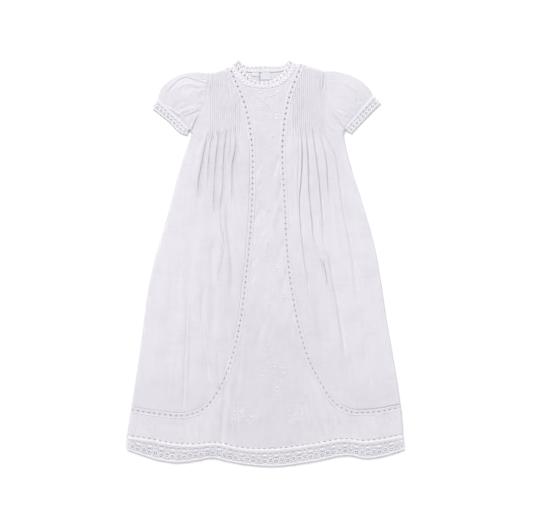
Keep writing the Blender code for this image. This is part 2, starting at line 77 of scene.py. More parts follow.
# the two halves of the front, the left one at negative x, and the lines of collar and hem
leftHalf = {
    "seam": [(-62, 334), (-54, 314), (-34, 266), (-22, 205), (-21, 106), (-30, -14), (-48, -133),
             (-62, -180), (-81, -219), (-102, -243), (-129, -253), (-174, -251), (-221.5, -244)],
    "side": [(-121, 215), (-139, 163), (-161, 79), (-187, -13), (-208, -155), (-221.5, -244),
             (-228, -288), (-230, -310)],
    "armhole": [(-121, 215), (-112, 237), (-105, 254), (-98.5, 267), (-92, 316)],
    "shoulder": [(-92, 316), (-60, 325)],
    "sleeveTop": [(-92, 316), (-109, 317.5), (-127, 317), (-142, 313), (-160, 303), (-173, 289),
                  (-178, 272)],
    "cuffStart": [(-178, 272), (-124.5, 221.5)],
    "cuffEnd": [(-181.5, 267), (-128, 217.5)],
    "laceEdge": [(-186.5, 256.4), (-159, 234.4), (-142, 217.6), (-136, 214), (-128.5, 213.2)],
    "tucks": (-92, -41),
    "corner": (-76, -211),
    "chest": [(-126, 206), (-92, 211), (-41, 223), (-26, 198)],
}
rightHalf = {
    "seam": [(65, 336), (58, 320), (40, 272), (30, 205), (33, 106), (40, -8), (59, -115),
             (74, -163), (93, -199), (113, -229), (138, -246), (177, -248), (226, -240)],
    "side": [(131, 214), (139, 174), (157, 117), (180, 38), (203, -97), (226, -240),
             (230, -286), (232, -310)],
    "armhole": [(131, 214), (121, 232), (112, 247), (104.5, 264), (100, 319)],
    "shoulder": [(100, 319), (77, 327), (52, 331)],
    "sleeveTop": [(100, 319), (118, 318.5), (136, 315), (160, 303), (176, 287), (181, 277.5)],
    "cuffStart": [(181, 277.5), (132.5, 222.5)],
    "cuffEnd": [(185, 274), (136.5, 219.5)],
    "laceEdge": [(193, 266), (168, 241), (143.8, 215.4)],
    "tucks": (100, 48),
    "corner": (89, -193),
    "chest": [(136, 205), (100, 211), (48, 223), (34, 198)],
}
collarLines = {
    "frontSeam": [(-60, 325), (-50, 313.5), (-41, 303), (-28, 294.5), (-8, 291), (20, 294),
                  (34, 302), (44, 313), (49, 322), (52, 331)],
    "frontFree": [(-43, 339), (-41, 329), (-32, 319), (-18, 305), (-3, 301), (9, 303), (27, 314),
                  (37, 328), (40, 338)],
    "backSeam": [(-60, 325), (-40, 319.5), (0, 317.5), (35, 321), (52, 331)],
    "backFree": [(-43, 339), (-34, 331), (0, 329.5), (32, 331), (40, 338)],
    "slit": -8.0,          # the opening in the middle of the back
}
hemSeam = [(-228, -288), (-192, -293), (-160, -299), (-128, -302), (-73, -300), (-48, -306),
           (17, -309), (81, -301), (139, -293), (161, -296), (187, -294), (230, -286)]
hemEdge = [(-230, -310), (-208, -318), (-176, -328), (-144, -332), (-112, -328), (-86, -324),
           (-60, -330), (17, -338), (81, -330), (142, -320), (168, -325), (193, -322),
           (232, -310)]

# Soft folds over the whole front: x, y at one end, x, y at the other, half width, height.
broadFolds = [
    (-134, 90, -142, -244, 9, 1.5),
    (-100, 120, -114, -110, 8, 1.1),
    (-168, 40, -190, -236, 11, 1.0),
    (-58, -160, -62, -360, 10, 1.7),
    (-84, -180, -92, -360, 8, 1.3),
    (-14, -240, -18, -360, 12, 0.9),
    (-4, 168, -20, 96, 6, 0.7),
    (12, 60, -14, -30, 7, 0.7),
    (24, 130, 12, 20, 6, 0.6),
    (36, -230, 40, -360, 12, 1.0),
    (98, 60, 132, -176, 9, 1.7),
    (80, 130, 104, -50, 8, 1.1),
    (160, 70, 188, -210, 10, 1.0),
    (88, -190, 112, -350, 9, 1.6),
    (122, -215, 140, -350, 8, 1.4),
    (-196, -250, -200, -350, 10, 1.1),
    (176, -255, 190, -350, 9, 1.2),
]


def onPhoto(px, py):
    # millimetres on the gown from a place on the 533 x 528 photo
    midX, midY = photo["middle"]
    return (px - midX) * photo["mmPerPixel"], (midY - py) * photo["mmPerPixel"]


def smoothLine(points, step=1.0):
    # a smooth line through the points, in pieces about one step long
    points = np.array(points, float)
    gaps = np.diff(points, axis=0)
    spans = np.linalg.norm(gaps, axis=1)
    slopes = []
    for k in range(len(points)):
        before, after = max(k - 1, 0), min(k, len(spans) - 1)
        into, out = gaps[before] / spans[before], gaps[after] / spans[after]
        total = spans[before] + spans[after]
        slopes.append((into * spans[after] + out * spans[before]) / total)
    line = []
    for k, span in enumerate(spans):
        t = (np.arange(max(1, round(span / step))) / max(1, round(span / step)))[:, None]
        ease = t * t * (3 - 2 * t)
        line.append(points[k] * (1 - ease) + points[k + 1] * ease
                    + slopes[k] * t * (1 - t) ** 2 * span + slopes[k + 1] * t * t * (t - 1) * span)
    line.append(points[-1:])
    return np.concatenate(line)


def distances(line):
    return np.concatenate([[0.0], np.cumsum(np.linalg.norm(np.diff(line, axis=0), axis=1))])


def pointsAlong(line, shares):
    # the points that lie these shares of the way along a line
    line = np.array(line, float)
    marks = distances(line)
    where = np.asarray(shares, float) * marks[-1]
    return np.stack([np.interp(where, marks, line[:, k]) for k in range(line.shape[1])], -1)


def sideways(line, distance):
    # the line moved to the left of its direction when distance is positive
    way = np.gradient(line, axis=0)
    way /= np.linalg.norm(way, axis=1)[:, None]
    return line + np.stack([-way[:, 1], way[:, 0]], -1) * distance


def beyond(line, fence):
    # the part of a line that lies past a fence, starting on it
    for k in range(len(line) - 1):
        for a, b in zip(fence, fence[1:]):
            hit = intersect_line_line_2d(*(Vector(p) for p in (line[k], line[k + 1], a, b)))
            if hit:
                return np.concatenate([[hit[:]], line[k + 1:]])
    return line


def heightOn(line, x):
    # y where a line that runs across passes x
    line = np.array(line, float)
    order = np.argsort(line[:, 0], kind="stable")
    return np.interp(x, line[order, 0], line[order, 1])


def nearestOn(line, spot):
    return int(np.argmin(np.linalg.norm(np.asarray(line) - np.array(spot), axis=1)))


def patch(top, bottom, start, end, u, v):
    # a sheet of points between four border lines: u along top and bottom, v down the sides
    u, v = u[None, :, None], v[:, None, None]
    across = start[:, None] * (1 - u) + end[:, None] * u
    down = top[None] * (1 - v) + bottom[None] * v
    corners = (top[0] * (1 - u) + top[-1] * u) * (1 - v)
    corners = corners + (bottom[0] * (1 - u) + bottom[-1] * u) * v
    return across + down - corners


def ease(value, start, stop):
    # 0 before start, 1 after stop, soft in between
    t = np.clip((np.asarray(value, float) - start) / (stop - start), 0, 1)
    return t * t * (3 - 2 * t)


def awayFrom(points, line):
    # how far each point lies from a line, with its side of it, and its distance along it
    line = np.array(line, float)
    marks = distances(line)
    best = np.full(points.shape[:-1], 1e9)
    sideOf, place = np.zeros(best.shape), np.zeros(best.shape)
    for k in range(len(line) - 1):
        run = line[k + 1] - line[k]
        reach = max(run @ run, 1e-9)
        share = np.clip(((points - line[k]) @ run) / reach, 0, 1)
        off = points - (line[k] + share[..., None] * run)
        length = np.linalg.norm(off, axis=-1)
        nearer = length < best
        best = np.where(nearer, length, best)
        turn = off[..., 0] * run[1] - off[..., 1] * run[0]
        sideOf = np.where(nearer, np.sign(turn), sideOf)
        place = np.where(nearer, marks[k] + share * math.sqrt(reach), place)
    return best, sideOf, place, marks[-1]


# folds that run through the cloth and the lace of the lower skirt, as broadFolds
hemFolds = [
    (-60, -120, -72, -310, 4.2, -2.0), (-66, -130, -80, -310, 6.0, 1.0),
    (-54, -140, -61, -290, 5.0, 0.8), (-137, -190, -126, -312, 4.5, -0.9),
    (-112, -240, -106, -320, 4.0, 0.9), (-96, -250, -98, -322, 3.0, -0.7),
    (50, -150, 70, -300, 4.0, -1.2), (62, -160, 86, -305, 5.0, 0.9),
    (98, -215, 122, -312, 4.5, -1.5), (118, -225, 134, -305, 4.0, 0.9),
    (140, -240, 152, -308, 3.6, -0.8), (196, -235, 204, -305, 4.0, 0.7),
]


washing = {"size": (17.0, 26.0), "height": 0.34, "octaves": 3}


def washWrinkles(points):
    # the slight, restless unevenness that washed cotton keeps after ironing
    wide, tall = washing["size"]
    rise = [noise.fractal((x / wide, y / tall, 0.0), 0.8, 2.1, washing["octaves"])
            for x, y in points.reshape(-1, 2)]
    return washing["height"] * np.array(rise).reshape(points.shape[:-1])


def softFolds(points):
    rise = washWrinkles(points)
    for x0, y0, x1, y1, halfWidth, height in broadFolds + hemFolds:
        run = np.array([x1 - x0, y1 - y0], float)
        here = points - np.array([x0, y0])
        share = np.clip((here @ run) / (run @ run), 0, 1)
        away = (here[..., 0] * run[1] - here[..., 1] * run[0]) / math.hypot(*run)
        rise += height * np.sin(math.pi * share) ** 0.6 * np.exp(-(away / halfWidth) ** 2)
    return rise


def creased(points, creases):
    # Creases drawn on the photo: their points there, half width and height in mm, how far they
    # take to fade in and out, and lean: 1 or -1 puts a ridge beside a trough, on one side of it.
    rise = np.zeros(points.shape[:-1])
    for spots, halfWidth, height, fadeIn, fadeOut, lean in creases:
        line = smoothLine([onPhoto(*s) for s in spots], 3.0)
        near = np.abs(points - line.mean(axis=0)).max(axis=-1)
        reach = np.abs(line - line.mean(axis=0)).max() + halfWidth * 5
        picked = near < reach
        if not picked.any():
            continue
        away, sideOf, place, total = awayFrom(points[picked], line)
        fade = ease(place, 0, fadeIn) * (1 - ease(place, total - fadeOut, total))
        width = halfWidth * (0.75 + 0.5 * place / total)
        shape = np.exp(-(away / width) ** 2)
        if lean:
            offset = away * sideOf * lean
            shape = shape - 0.6 * np.exp(-((offset + 1.7 * width) / (1.3 * width)) ** 2)
        rise[picked] += height * fade * shape
    return rise


def clothColour(hexValue):
    # sRGB hex to the linear colour that Blender works in
    value = hexValue.lstrip("#")
    parts = [int(value[k:k + 2], 16) / 255 for k in (0, 2, 4)]
    return tuple(p / 12.92 if p <= 0.04045 else ((p + 0.055) / 1.055) ** 2.4 for p in parts) + (1,)


def addNode(tree, kind, settings=None, links=None):
    # one shader node: settings go to its fields or sockets, links give what feeds a socket
    node = tree.nodes.new(kind)
    for key, value in (settings or {}).items():
        if isinstance(key, str) and hasattr(node, key):
            setattr(node, key, value)
        else:
            node.inputs[key].default_value = value
    for key, source in (links or {}).items():
        tree.links.new(source, node.inputs[key])
    return node


def newMaterial(name):
    material = bpy.data.materials.new(name)
    material.use_nodes = True
    tree = material.node_tree
    return material, tree, tree.nodes["Principled BSDF"]


# Cotton batiste, plain woven, mercerised and washed: a matt, slightly cool white with a faint
# silk in raking light, and small thick and thin threads.
batiste = {
    "colour": "#e9e5eb", "deepColour": "#e1dee5",
    # the tint below is painted shade over the tucks and pleats, and a darker tone on other panels
    "toneAndShadeTint": "#f7f7f8",              # multiplies the cloth where it is closely worked
    "through": 0.5, "scatterMm": 0.9,    # thin cotton: light reaches the layer below
    "roughness": 0.82, "sheen": 0.18, "sheenRoughness": 0.5, "ior": 1.47,
    "threadMm": 1.1,       # real threads lie 0.3 mm apart, drawn coarser so that the weave shows
    "slubMm": 5.0,         # distance between thick threads
    "bump": 0.12,
}


def wovenMaterial(name, look):
    material, tree, shader = newMaterial(name)
    place = addNode(tree, "ShaderNodeUVMap", {"uv_map": "cloth"}).outputs["UV"]
    warpSize, weftSize = 1000 / look["slubMm"], 1000 / look["slubMm"] / 9
    warp = addNode(tree, "ShaderNodeMapping", {"Scale": (warpSize, weftSize, 1)}, {"Vector": place})
    weft = addNode(tree, "ShaderNodeMapping", {"Scale": (weftSize, warpSize, 1)}, {"Vector": place})
    warpSlub = addNode(tree, "ShaderNodeTexNoise", {"Scale": 1.0, "Detail": 2.0},
                       {"Vector": warp.outputs["Vector"]})
    weftSlub = addNode(tree, "ShaderNodeTexNoise", {"Scale": 1.0, "Detail": 2.0},
                       {"Vector": weft.outputs["Vector"]})
    slubs = addNode(tree, "ShaderNodeMath", {"operation": "ADD"},
                    {0: warpSlub.outputs["Fac"], 1: weftSlub.outputs["Fac"]})
    waves = []
    for direction in ("X", "Y"):
        # a wave repeats every 2 pi / (20 x scale)
        waves.append(addNode(tree, "ShaderNodeTexWave",
                             {"bands_direction": direction, "wave_profile": "SIN",
                              "Scale": 2 * math.pi / 20 * 1000 / look["threadMm"],
                              "Distortion": 0.6, "Detail": 1.0}, {"Vector": place}))
    weave = addNode(tree, "ShaderNodeMath", {"operation": "MULTIPLY"},
                    {0: waves[0].outputs["Fac"], 1: waves[1].outputs["Fac"]})
    relief = addNode(tree, "ShaderNodeMath", {"operation": "MULTIPLY_ADD", 1: 0.5},
                     {0: weave.outputs[0], 2: slubs.outputs[0]})
    bump = addNode(tree, "ShaderNodeBump", {"Strength": look["bump"], "Distance": 0.0003},
                   {"Height": relief.outputs[0]})
    cloudy = addNode(tree, "ShaderNodeTexNoise", {"Scale": 28.0, "Detail": 3.0},
                     {"Vector": place})
    tone = addNode(tree, "ShaderNodeMath", {"operation": "MULTIPLY_ADD", 1: 0.45},
                   {0: slubs.outputs[0], 2: cloudy.outputs["Fac"]})
    ramp = addNode(tree, "ShaderNodeValToRGB", None, {"Fac": tone.outputs[0]})
    ramp.color_ramp.elements[0].position = 0.55
    ramp.color_ramp.elements[0].color = clothColour(look["deepColour"])
    ramp.color_ramp.elements[1].position = 1.0
    ramp.color_ramp.elements[1].color = clothColour(look["colour"])
    # painted shade: the cloth is multiplied darker where the tucks and released pleats shade it, and by
    # set amounts elsewhere
    toneAndShade = addNode(tree, "ShaderNodeAttribute", {"attribute_name": "toneAndShade"})
    shade = addNode(tree, "ShaderNodeMix", {"data_type": "RGBA", "blend_type": "MULTIPLY",
                                            7: clothColour(look["toneAndShadeTint"])},
                    {0: toneAndShade.outputs["Fac"], 6: ramp.outputs["Color"]})
    tree.links.new(shade.outputs[2], shader.inputs["Base Color"])
    tree.links.new(bump.outputs["Normal"], shader.inputs["Normal"])
    shader.inputs["Roughness"].default_value = look["roughness"]
    shader.inputs["IOR"].default_value = look["ior"]
    shader.inputs["Sheen Weight"].default_value = look["sheen"]
    shader.inputs["Sheen Roughness"].default_value = look["sheenRoughness"]
    shader.inputs["Subsurface Weight"].default_value = look["through"]
    shader.inputs["Subsurface Radius"].default_value = (1, 1, 1)
    shader.inputs["Subsurface Scale"].default_value = look["scatterMm"] / 1000
    return material


# Cotton lace and embroidery thread, twisted and mercerised: a warmer white than the cloth, with
# a soft gloss on each turn of the thread.
thread = {
    # the net colours are painted shade: the net between the lace figures is darker for the shade seen
    # through it
    "laceColour": "#f5f2f6", "shadedNetColour": "#e9e5eb", "satinColour": "#f1eef4",
    "tapeColour": "#e9e6ec", "insertionColour": "#f0ecf2", "shadedInsertionNet": "#e2dde5",
    "roughness": 0.68, "sheen": 0.12, "ior": 1.5,
    "threadMm": 0.9,       # lace thread is 0.3 mm thick, drawn coarser so that it shows
    "bump": 0.25, "through": 0.5, "scatterMm": 0.9,
}


def threadMaterial(name, colour, direction, roughness, bumpStrength, shadedNetColour=None):
    material, tree, shader = newMaterial(name)
    place = addNode(tree, "ShaderNodeUVMap", {"uv_map": "cloth"}).outputs["UV"]
    wave = addNode(tree, "ShaderNodeTexWave",
                   {"bands_direction": direction, "wave_profile": "SIN",
                    "Scale": 2 * math.pi / 20 * 1000 / thread["threadMm"],
                    "Distortion": 1.5, "Detail": 2.0, "Detail Scale": 2.0}, {"Vector": place})
    fuzz = addNode(tree, "ShaderNodeTexNoise", {"Scale": 900.0, "Detail": 2.0},
                   {"Vector": place})
    relief = addNode(tree, "ShaderNodeMath", {"operation": "MULTIPLY_ADD", 1: 0.4},
                     {0: fuzz.outputs["Fac"], 2: wave.outputs["Fac"]})
    bump = addNode(tree, "ShaderNodeBump", {"Strength": bumpStrength, "Distance": 0.0003},
                   {"Height": relief.outputs[0]})
    # painted shade: the thread is 4% darker where the wave that makes its bump is low, in the grooves
    # between its turns
    ramp = addNode(tree, "ShaderNodeValToRGB", None, {"Fac": wave.outputs["Fac"]})
    base = clothColour(colour)
    ramp.color_ramp.elements[0].color = tuple(c * 0.96 for c in base[:3]) + (1,)
    ramp.color_ramp.elements[1].color = base
    tone = ramp.outputs["Color"]
    if shadedNetColour:
        # painted shade: the net between the figures takes the darker net colour, the raised figures the
        # lighter one
        toneAndShade = addNode(tree, "ShaderNodeAttribute", {"attribute_name": "toneAndShade"})
        tone = addNode(tree, "ShaderNodeMix", {"data_type": "RGBA", "blend_type": "MIX",
                                               6: clothColour(shadedNetColour)},
                       {0: toneAndShade.outputs["Fac"], 7: tone}).outputs[2]
    tree.links.new(tone, shader.inputs["Base Color"])
    tree.links.new(bump.outputs["Normal"], shader.inputs["Normal"])
    shader.inputs["Roughness"].default_value = roughness
    shader.inputs["IOR"].default_value = thread["ior"]
    shader.inputs["Sheen Weight"].default_value = thread["sheen"]
    shader.inputs["Subsurface Weight"].default_value = thread["through"]
    shader.inputs["Subsurface Radius"].default_value = (1, 1, 1)
    shader.inputs["Subsurface Scale"].default_value = thread["scatterMm"] / 1000
    return material


wovenBatiste = wovenMaterial("wovenCottonBatiste", batiste)
laceCotton = threadMaterial("loomedCottonLace", thread["laceColour"], "DIAGONAL",
                            thread["roughness"], thread["bump"], thread["shadedNetColour"])
insertionCotton = threadMaterial("loomedCottonInsertion", thread["insertionColour"], "DIAGONAL",
                                 thread["roughness"], thread["bump"], thread["shadedInsertionNet"])
satinCotton = threadMaterial("satinStitchedCotton", thread["satinColour"], "X", 0.5, 0.35)
tapeCotton = threadMaterial("wovenCottonTape", thread["tapeColour"], "Y", 0.75, 0.2)
print("materials made")


def clothSheet(name, rows, uv, thickness, material, closed=False, keep=None, opened=False,
               toneAndShade=None):
    # A sheet of cloth whose upper or outer side runs through a grid of points in mm. keep, where
    # it is given, says which of the grid's faces are cloth and which are holes.
    high, wide = rows.shape[:2]
    bpy.ops.object.select_all(action="DESELECT")
    bpy.ops.mesh.primitive_grid_add(x_subdivisions=wide - 1, y_subdivisions=high - 1, size=1)
    piece = bpy.context.object
    piece.name = piece.data.name = name
    mesh = piece.data
    placed = rows.reshape(-1, 3) - np.array([*gownCentre, 0])
    mesh.vertices.foreach_set("co", (placed * 0.001).ravel())
    corners = np.empty(len(mesh.loops), int)
    mesh.loops.foreach_get("vertex_index", corners)
    mesh.uv_layers[0].name = "cloth"
    mesh.uv_layers["cloth"].uv.foreach_set("vector", (uv.reshape(-1, 2) * 0.001)[corners].ravel())
    # how much painted shade or darker tone the material puts on each point
    if toneAndShade is not None:
        mesh.attributes.new("toneAndShade", "FLOAT", "POINT").data.foreach_set("value", toneAndShade.ravel())
    mesh.update()
    bpy.ops.object.mode_set(mode="EDIT")
    shell = bmesh.from_edit_mesh(mesh)
    shell.faces.ensure_lookup_table()
    if keep is not None:
        # the grid's faces come in the same order as its points, row by row
        gone = [shell.faces[k] for k in np.flatnonzero(~keep.ravel())]
        bmesh.ops.delete(shell, geom=gone, context="FACES")
    if closed:
        bmesh.ops.remove_doubles(shell, verts=shell.verts, dist=1e-6)
        bmesh.ops.recalc_face_normals(shell, faces=shell.faces)
    # the upper side of a sheet faces up, and the lower leaf of a tube down
    middle = 0.0016 if closed or opened else -1
    if sum(f.normal.z * (f.calc_center_median().z - middle) for f in shell.faces) < 0:
        bmesh.ops.reverse_faces(shell, faces=shell.faces)
    bmesh.update_edit_mesh(mesh)
    bpy.ops.object.mode_set(mode="OBJECT")
    wall = piece.modifiers.new("wall", "SOLIDIFY")
    wall.thickness = thickness * 0.001
    wall.offset = -1
    bpy.ops.object.modifier_apply(modifier=wall.name)
    bpy.ops.object.shade_smooth()
    # nothing sinks into the table
    settled = np.empty(len(mesh.vertices) * 3)
    mesh.vertices.foreach_get("co", settled)
    settled[2::3] = np.maximum(settled[2::3], 0)
    mesh.vertices.foreach_set("co", settled)
    mesh.materials.clear()
    mesh.materials.append(material)
    return piece


shoulderFence = np.concatenate([np.array(leftHalf["shoulder"][:-1], float),
                                smoothLine(collarLines["frontSeam"]),
                                np.array(rightHalf["shoulder"][-2::-1], float)])
hemLine = smoothLine(hemSeam)
hemFreeLine = smoothLine(hemEdge)


def rollDown(points, height, edges):
    # let the front's surface curve down to the table close to its outline
    for edge in edges:
        away = awayFrom(points, edge)[0] / layers["turn"]
        curve = np.sqrt(np.clip(1 - (1 - np.clip(away, 0, 1)) ** 2, 0, 1))
        height = layers["cloth"] + (height - layers["cloth"]) * curve
    return height


# The tucked and gathered side fronts. The creases are drawn on the photo.
sideFront = {
    "tucks": 16, "tuckHeight": 0.75,
    "tuckProfile": [(0.0, -0.1), (0.2, 0.3), (0.45, 0.35), (0.68, 0.15), (0.86, -1.5)],
    "skirtRows": 150, "yokeRows": 42,
    "gatherHeight": 2.9, "gatherReach": 130,
    # pleats: their points on the photo, half width, depth and how far they take to run out in mm
    "leftPleats": [
        ([(208.7, 133), (205.2, 145), (201.3, 167), (199, 179), (197.8, 200)], 1.5, 3.8, 22),
        ([(213.2, 133), (210.4, 147), (208.6, 165), (208.4, 186)], 1.2, 2.9, 34),
        ([(219.4, 131.5), (217.2, 148), (215.4, 167), (214.2, 188), (213.6, 217)], 1.5, 4.3, 30),
        ([(226.8, 131), (224.5, 148), (223.3, 167), (222.7, 188), (220.9, 200), (220.8, 226),
          (223.4, 243)], 1.5, 4.4, 44),
        ([(231.2, 130.5), (230.2, 146), (229.4, 160)], 1.0, 2.3, 24),
        ([(235.4, 130), (235.2, 151), (233, 161), (231.9, 182), (232.5, 203)], 1.5, 5.2, 40),
    ],
    "rightPleats": [
        ([(300.6, 127.5), (301.7, 138), (302.3, 151), (301.2, 180), (299.6, 198), (300.8, 228),
          (303.2, 252), (308, 288)], 1.5, 4.0, 70),
        ([(306, 127.5), (307.2, 144), (308.4, 164), (309.2, 192), (312, 220), (314, 240),
          (320.8, 260), (325, 275)], 1.6, 4.6, 44),
        ([(312.6, 129), (314.4, 144), (316.8, 160), (319.2, 180), (320.4, 195), (322.4, 218),
          (323.6, 236)], 1.4, 3.7, 40),
        ([(319.8, 131), (322.8, 144), (326.4, 160), (327.7, 180), (329, 197)], 1.4, 3.4, 30),
        ([(324.6, 132), (329, 143), (333.2, 151), (336, 158)], 1.3, 3.2, 12),
    ],
    "leftCreases": [
        ([(239.6, 129.5), (239.4, 142)], 0.9, -1.4, 3, 12, 1),
        ([(201.5, 137), (196.5, 152), (190.5, 182)], 3.5, -0.9, 10, 30, 0),
        ([(187.9, 290), (186.5, 330), (184.8, 370), (183.6, 409)], 1.7, -2.6, 50, 20, 1),
        ([(203.4, 285), (202.5, 320), (206, 350), (211, 385)], 4.0, -2.6, 30, 30, 1),
        ([(226, 200), (228.5, 230), (232, 262), (232.5, 300)], 4.4, -3.0, 30, 40, -1),
        ([(213, 236), (212, 262), (214, 300), (213, 340)], 5.5, -2.2, 30, 40, 0),
        ([(224.8, 376), (222.5, 410), (220.2, 441)], 2.4, -3.5, 20, 14, 1),
        ([(197, 240), (194, 280), (193, 320)], 6.0, 1.5, 30, 30, 0),
        ([(171, 250), (165, 300), (160, 360)], 8.0, 1.2, 40, 40, 0),
        ([(176, 330), (173, 370), (170, 402)], 3.0, 0.8, 20, 20, 0),
        ([(214, 345), (216, 372), (219, 396)], 3.0, 1.4, 20, 20, 0),
        ([(181, 250), (178, 290), (177, 330)], 3.0, -1.1, 30, 30, 0),
    ],
    "rightCreases": [
        ([(297.6, 128.5), (297.8, 150), (296.6, 185), (297, 213)], 1.0, 2.0, 4, 30, 0),
        ([(333.2, 151), (337, 162), (339.2, 178), (342.8, 206), (347.6, 230), (352.4, 258),
          (356, 284), (357.4, 304)], 2.0, -2.7, 14, 50, -1),
        ([(325.2, 250), (329, 275), (333.6, 300), (338.4, 330), (342.6, 358)], 1.9, 2.7, 18, 30, 0),
        ([(329.2, 252), (332.6, 275), (337.2, 300), (341.8, 330), (345.4, 356)], 2.0, -2.6, 18, 30,
         0),
        ([(316, 296), (320, 330), (326, 362)], 4.4, -2.0, 30, 30, 0),
        ([(322.6, 392), (328, 415), (334.8, 441)], 2.6, -3.2, 12, 14, -1),
        ([(352, 190), (362, 240), (371, 290)], 7.0, 1.1, 40, 40, 0),
        ([(360, 310), (366, 350), (371, 396)], 3.0, -1.4, 40, 40, 0),
        ([(345, 340), (350, 372), (354, 400)], 3.6, 1.4, 30, 24, 0),
        ([(302, 262), (308, 300), (316, 340)], 4.6, 1.4, 30, 40, 0),
        ([(318, 215), (321, 240), (327, 262)], 2.6, 1.6, 14, 16, 0),
        ([(333, 196), (336, 230), (341, 262)], 3.0, 1.1, 20, 30, 0),
    ],
    # ridges and taller folds near the armholes, the edge of the plain strip beside the tucks
    "leftYoke": [
        ([(211.6, 71), (211, 80), (210.2, 89)], 1.4, 0.9, 3, 6, 0),
        ([(208.6, 90), (207.4, 100), (204.6, 112)], 2.2, 0.6, 6, 8, 0),
        ([(241.2, 74), (240.8, 100), (240.4, 128)], 0.9, 0.7, 5, 5, 0),
        ([(203, 118), (208, 123), (214, 127)], 2.4, 0.5, 6, 6, 0),
    ],
    "rightYoke": [
        ([(323.6, 73.6), (323.6, 80), (323.2, 89)], 1.2, -2.4, 3, 4, -1),
        ([(320.4, 78), (320.8, 88), (322, 96)], 1.0, -1.8, 4, 6, -1),
        ([(327, 96), (329.4, 104), (332.4, 111)], 1.8, 1.2, 5, 5, 0),
        ([(326.5, 122), (331, 127), (336, 131)], 2.2, 0.6, 5, 5, 0),
        ([(289.4, 80), (288.6, 104), (288, 128)], 0.9, 0.5, 5, 5, 0),
    ],
}


def sideFrontGrid(half, sign):
    # the points of one side front from the armhole and shoulder down to the lace insertion
    outer = beyond(sideways(smoothLine(half["seam"]), sign * layers["laceHalf"]), shoulderFence)
    side = smoothLine(half["side"])
    chest, armhole = np.array(half["chest"], float), np.array(half["armhole"], float)
    sideChest = int(np.argmin(abs(side[:, 1] - chest[0, 1])))
    innerChest = int(np.argmin(abs(outer[:, 1] - chest[-1, 1])))
    corner = innerChest + nearestOn(outer[innerChest:], half["corner"])
    sideEnd = nearestOn(side, outer[-1])

    # columns by their x at the chest: close together over the tucks
    start, stop = half["tucks"]
    begin, end = side[sideChest, 0], outer[innerChest, 0]
    pitch = (stop - start) / sideFront["tucks"]
    edgeColumns = begin - sign * np.array([0, 0.35, 0.9, 1.7, 2.6, 3.5])
    armColumns = np.linspace(edgeColumns[-1], start, 19)[1:-1]
    tuckColumns = [start + pitch * (k + phase) for k in range(sideFront["tucks"])
                   for phase, _ in sideFront["tuckProfile"]] + [stop]
    plainColumns = np.linspace(stop, end, 9)[1:]
    columns = np.concatenate([edgeColumns, armColumns, tuckColumns, plainColumns])
    tuckLift = np.zeros(len(columns))
    first = len(edgeColumns) + len(armColumns)
    profile = [rise for _, rise in sideFront["tuckProfile"]]
    tuckLift[first:first + len(tuckColumns) - 1] = profile * sideFront["tucks"]

    low = np.stack([columns, heightOn(chest, columns)], -1)
    low[0], low[-1] = side[sideChest], outer[innerChest]
    topX = sign * np.interp(sign * columns, [abs(armhole[1, 0]), abs(begin)],
                            [abs(armhole[1, 0]), abs(armhole[0, 0])])
    topX = np.where(abs(columns) > abs(armhole[1, 0]), topX, columns)
    # the inner columns start on the edge of the insertion, a little above the chest line
    innerTop = int(np.argmin(abs(outer[:, 1] - outer[innerChest, 1] - 9)))
    inside = abs(columns) < abs(stop)
    topX = np.where(inside, np.interp(abs(columns), [abs(end), abs(stop)],
                                      [abs(outer[innerTop, 0]), abs(stop)]) * sign, topX)
    top = np.stack([topX, heightOn(shoulderFence, topX)], -1)
    onArm = abs(topX) > abs(armhole[-1, 0])
    top[onArm, 1] = heightOn(armhole, topX[onArm])
    onSeam = abs(topX) < abs(outer[0, 0])
    top[onSeam, 1] = heightOn(outer[:innerChest + 1], topX[onSeam])

    v = np.linspace(0, 1, sideFront["yokeRows"])[:, None, None]
    yoke = top[None] * (1 - v) + low[None] * v
    u = (low[:, 0] - begin) / (end - begin)
    v = np.linspace(0, 1, sideFront["skirtRows"])
    sweep = outer[corner:]
    skirt = patch(low, pointsAlong(sweep, 1 - u), pointsAlong(side[sideChest:sideEnd + 1], v),
                  pointsAlong(outer[innerChest:corner + 1], v), u, v)
    grid = np.concatenate([yoke, skirt[1:]])
    yokeShare = np.concatenate([np.linspace(0, 1, sideFront["yokeRows"]),
                                np.full(len(skirt) - 1, 2.0)])
    return grid, yokeShare, tuckLift, side, outer, top


def followPleats(grid, pleats):
    # bend the grid's columns below the yoke so that four of them run along each pleat
    last = sideFront["yokeRows"] - 1
    columns = np.arange(grid.shape[1])
    moved = grid[..., 0].copy()
    lines = sorted(([onPhoto(*spot) for spot in spots], half) for spots, half, _, _ in pleats)
    if grid[0, 0, 0] > grid[0, -1, 0]:
        lines = lines[::-1]
    lines = [(smoothLine(line, 3.0)[::-1], half) for line, half in lines]
    nearest = [int(np.argmin(abs(grid[last, :, 0] - line[-1, 0]))) for line, _ in lines]
    way = np.sign(grid[last, -1, 0] - grid[last, 0, 0])
    for r, row in enumerate(grid):
        anchors, shifts = [0], [0.0]
        for (line, half), c in zip(lines, nearest):
            y = row[c, 1]
            pull = ease(grid[last, c, 1] - y, -14, 2) * (1 - ease(line[0, 1] - y, 0, 90))
            for k, step in zip((c - 1, c, c + 1, c + 2), (-1.0, -0.4, 0.4, 1.0)):
                target = np.interp(y, line[:, 1], line[:, 0]) + way * step * half
                anchors.append(k)
                shifts.append((target - row[k, 0]) * pull)
        anchors.append(columns[-1])
        shifts.append(0.0)
        moved[r] += np.interp(columns, anchors, shifts)
    grid[..., 0] = moved


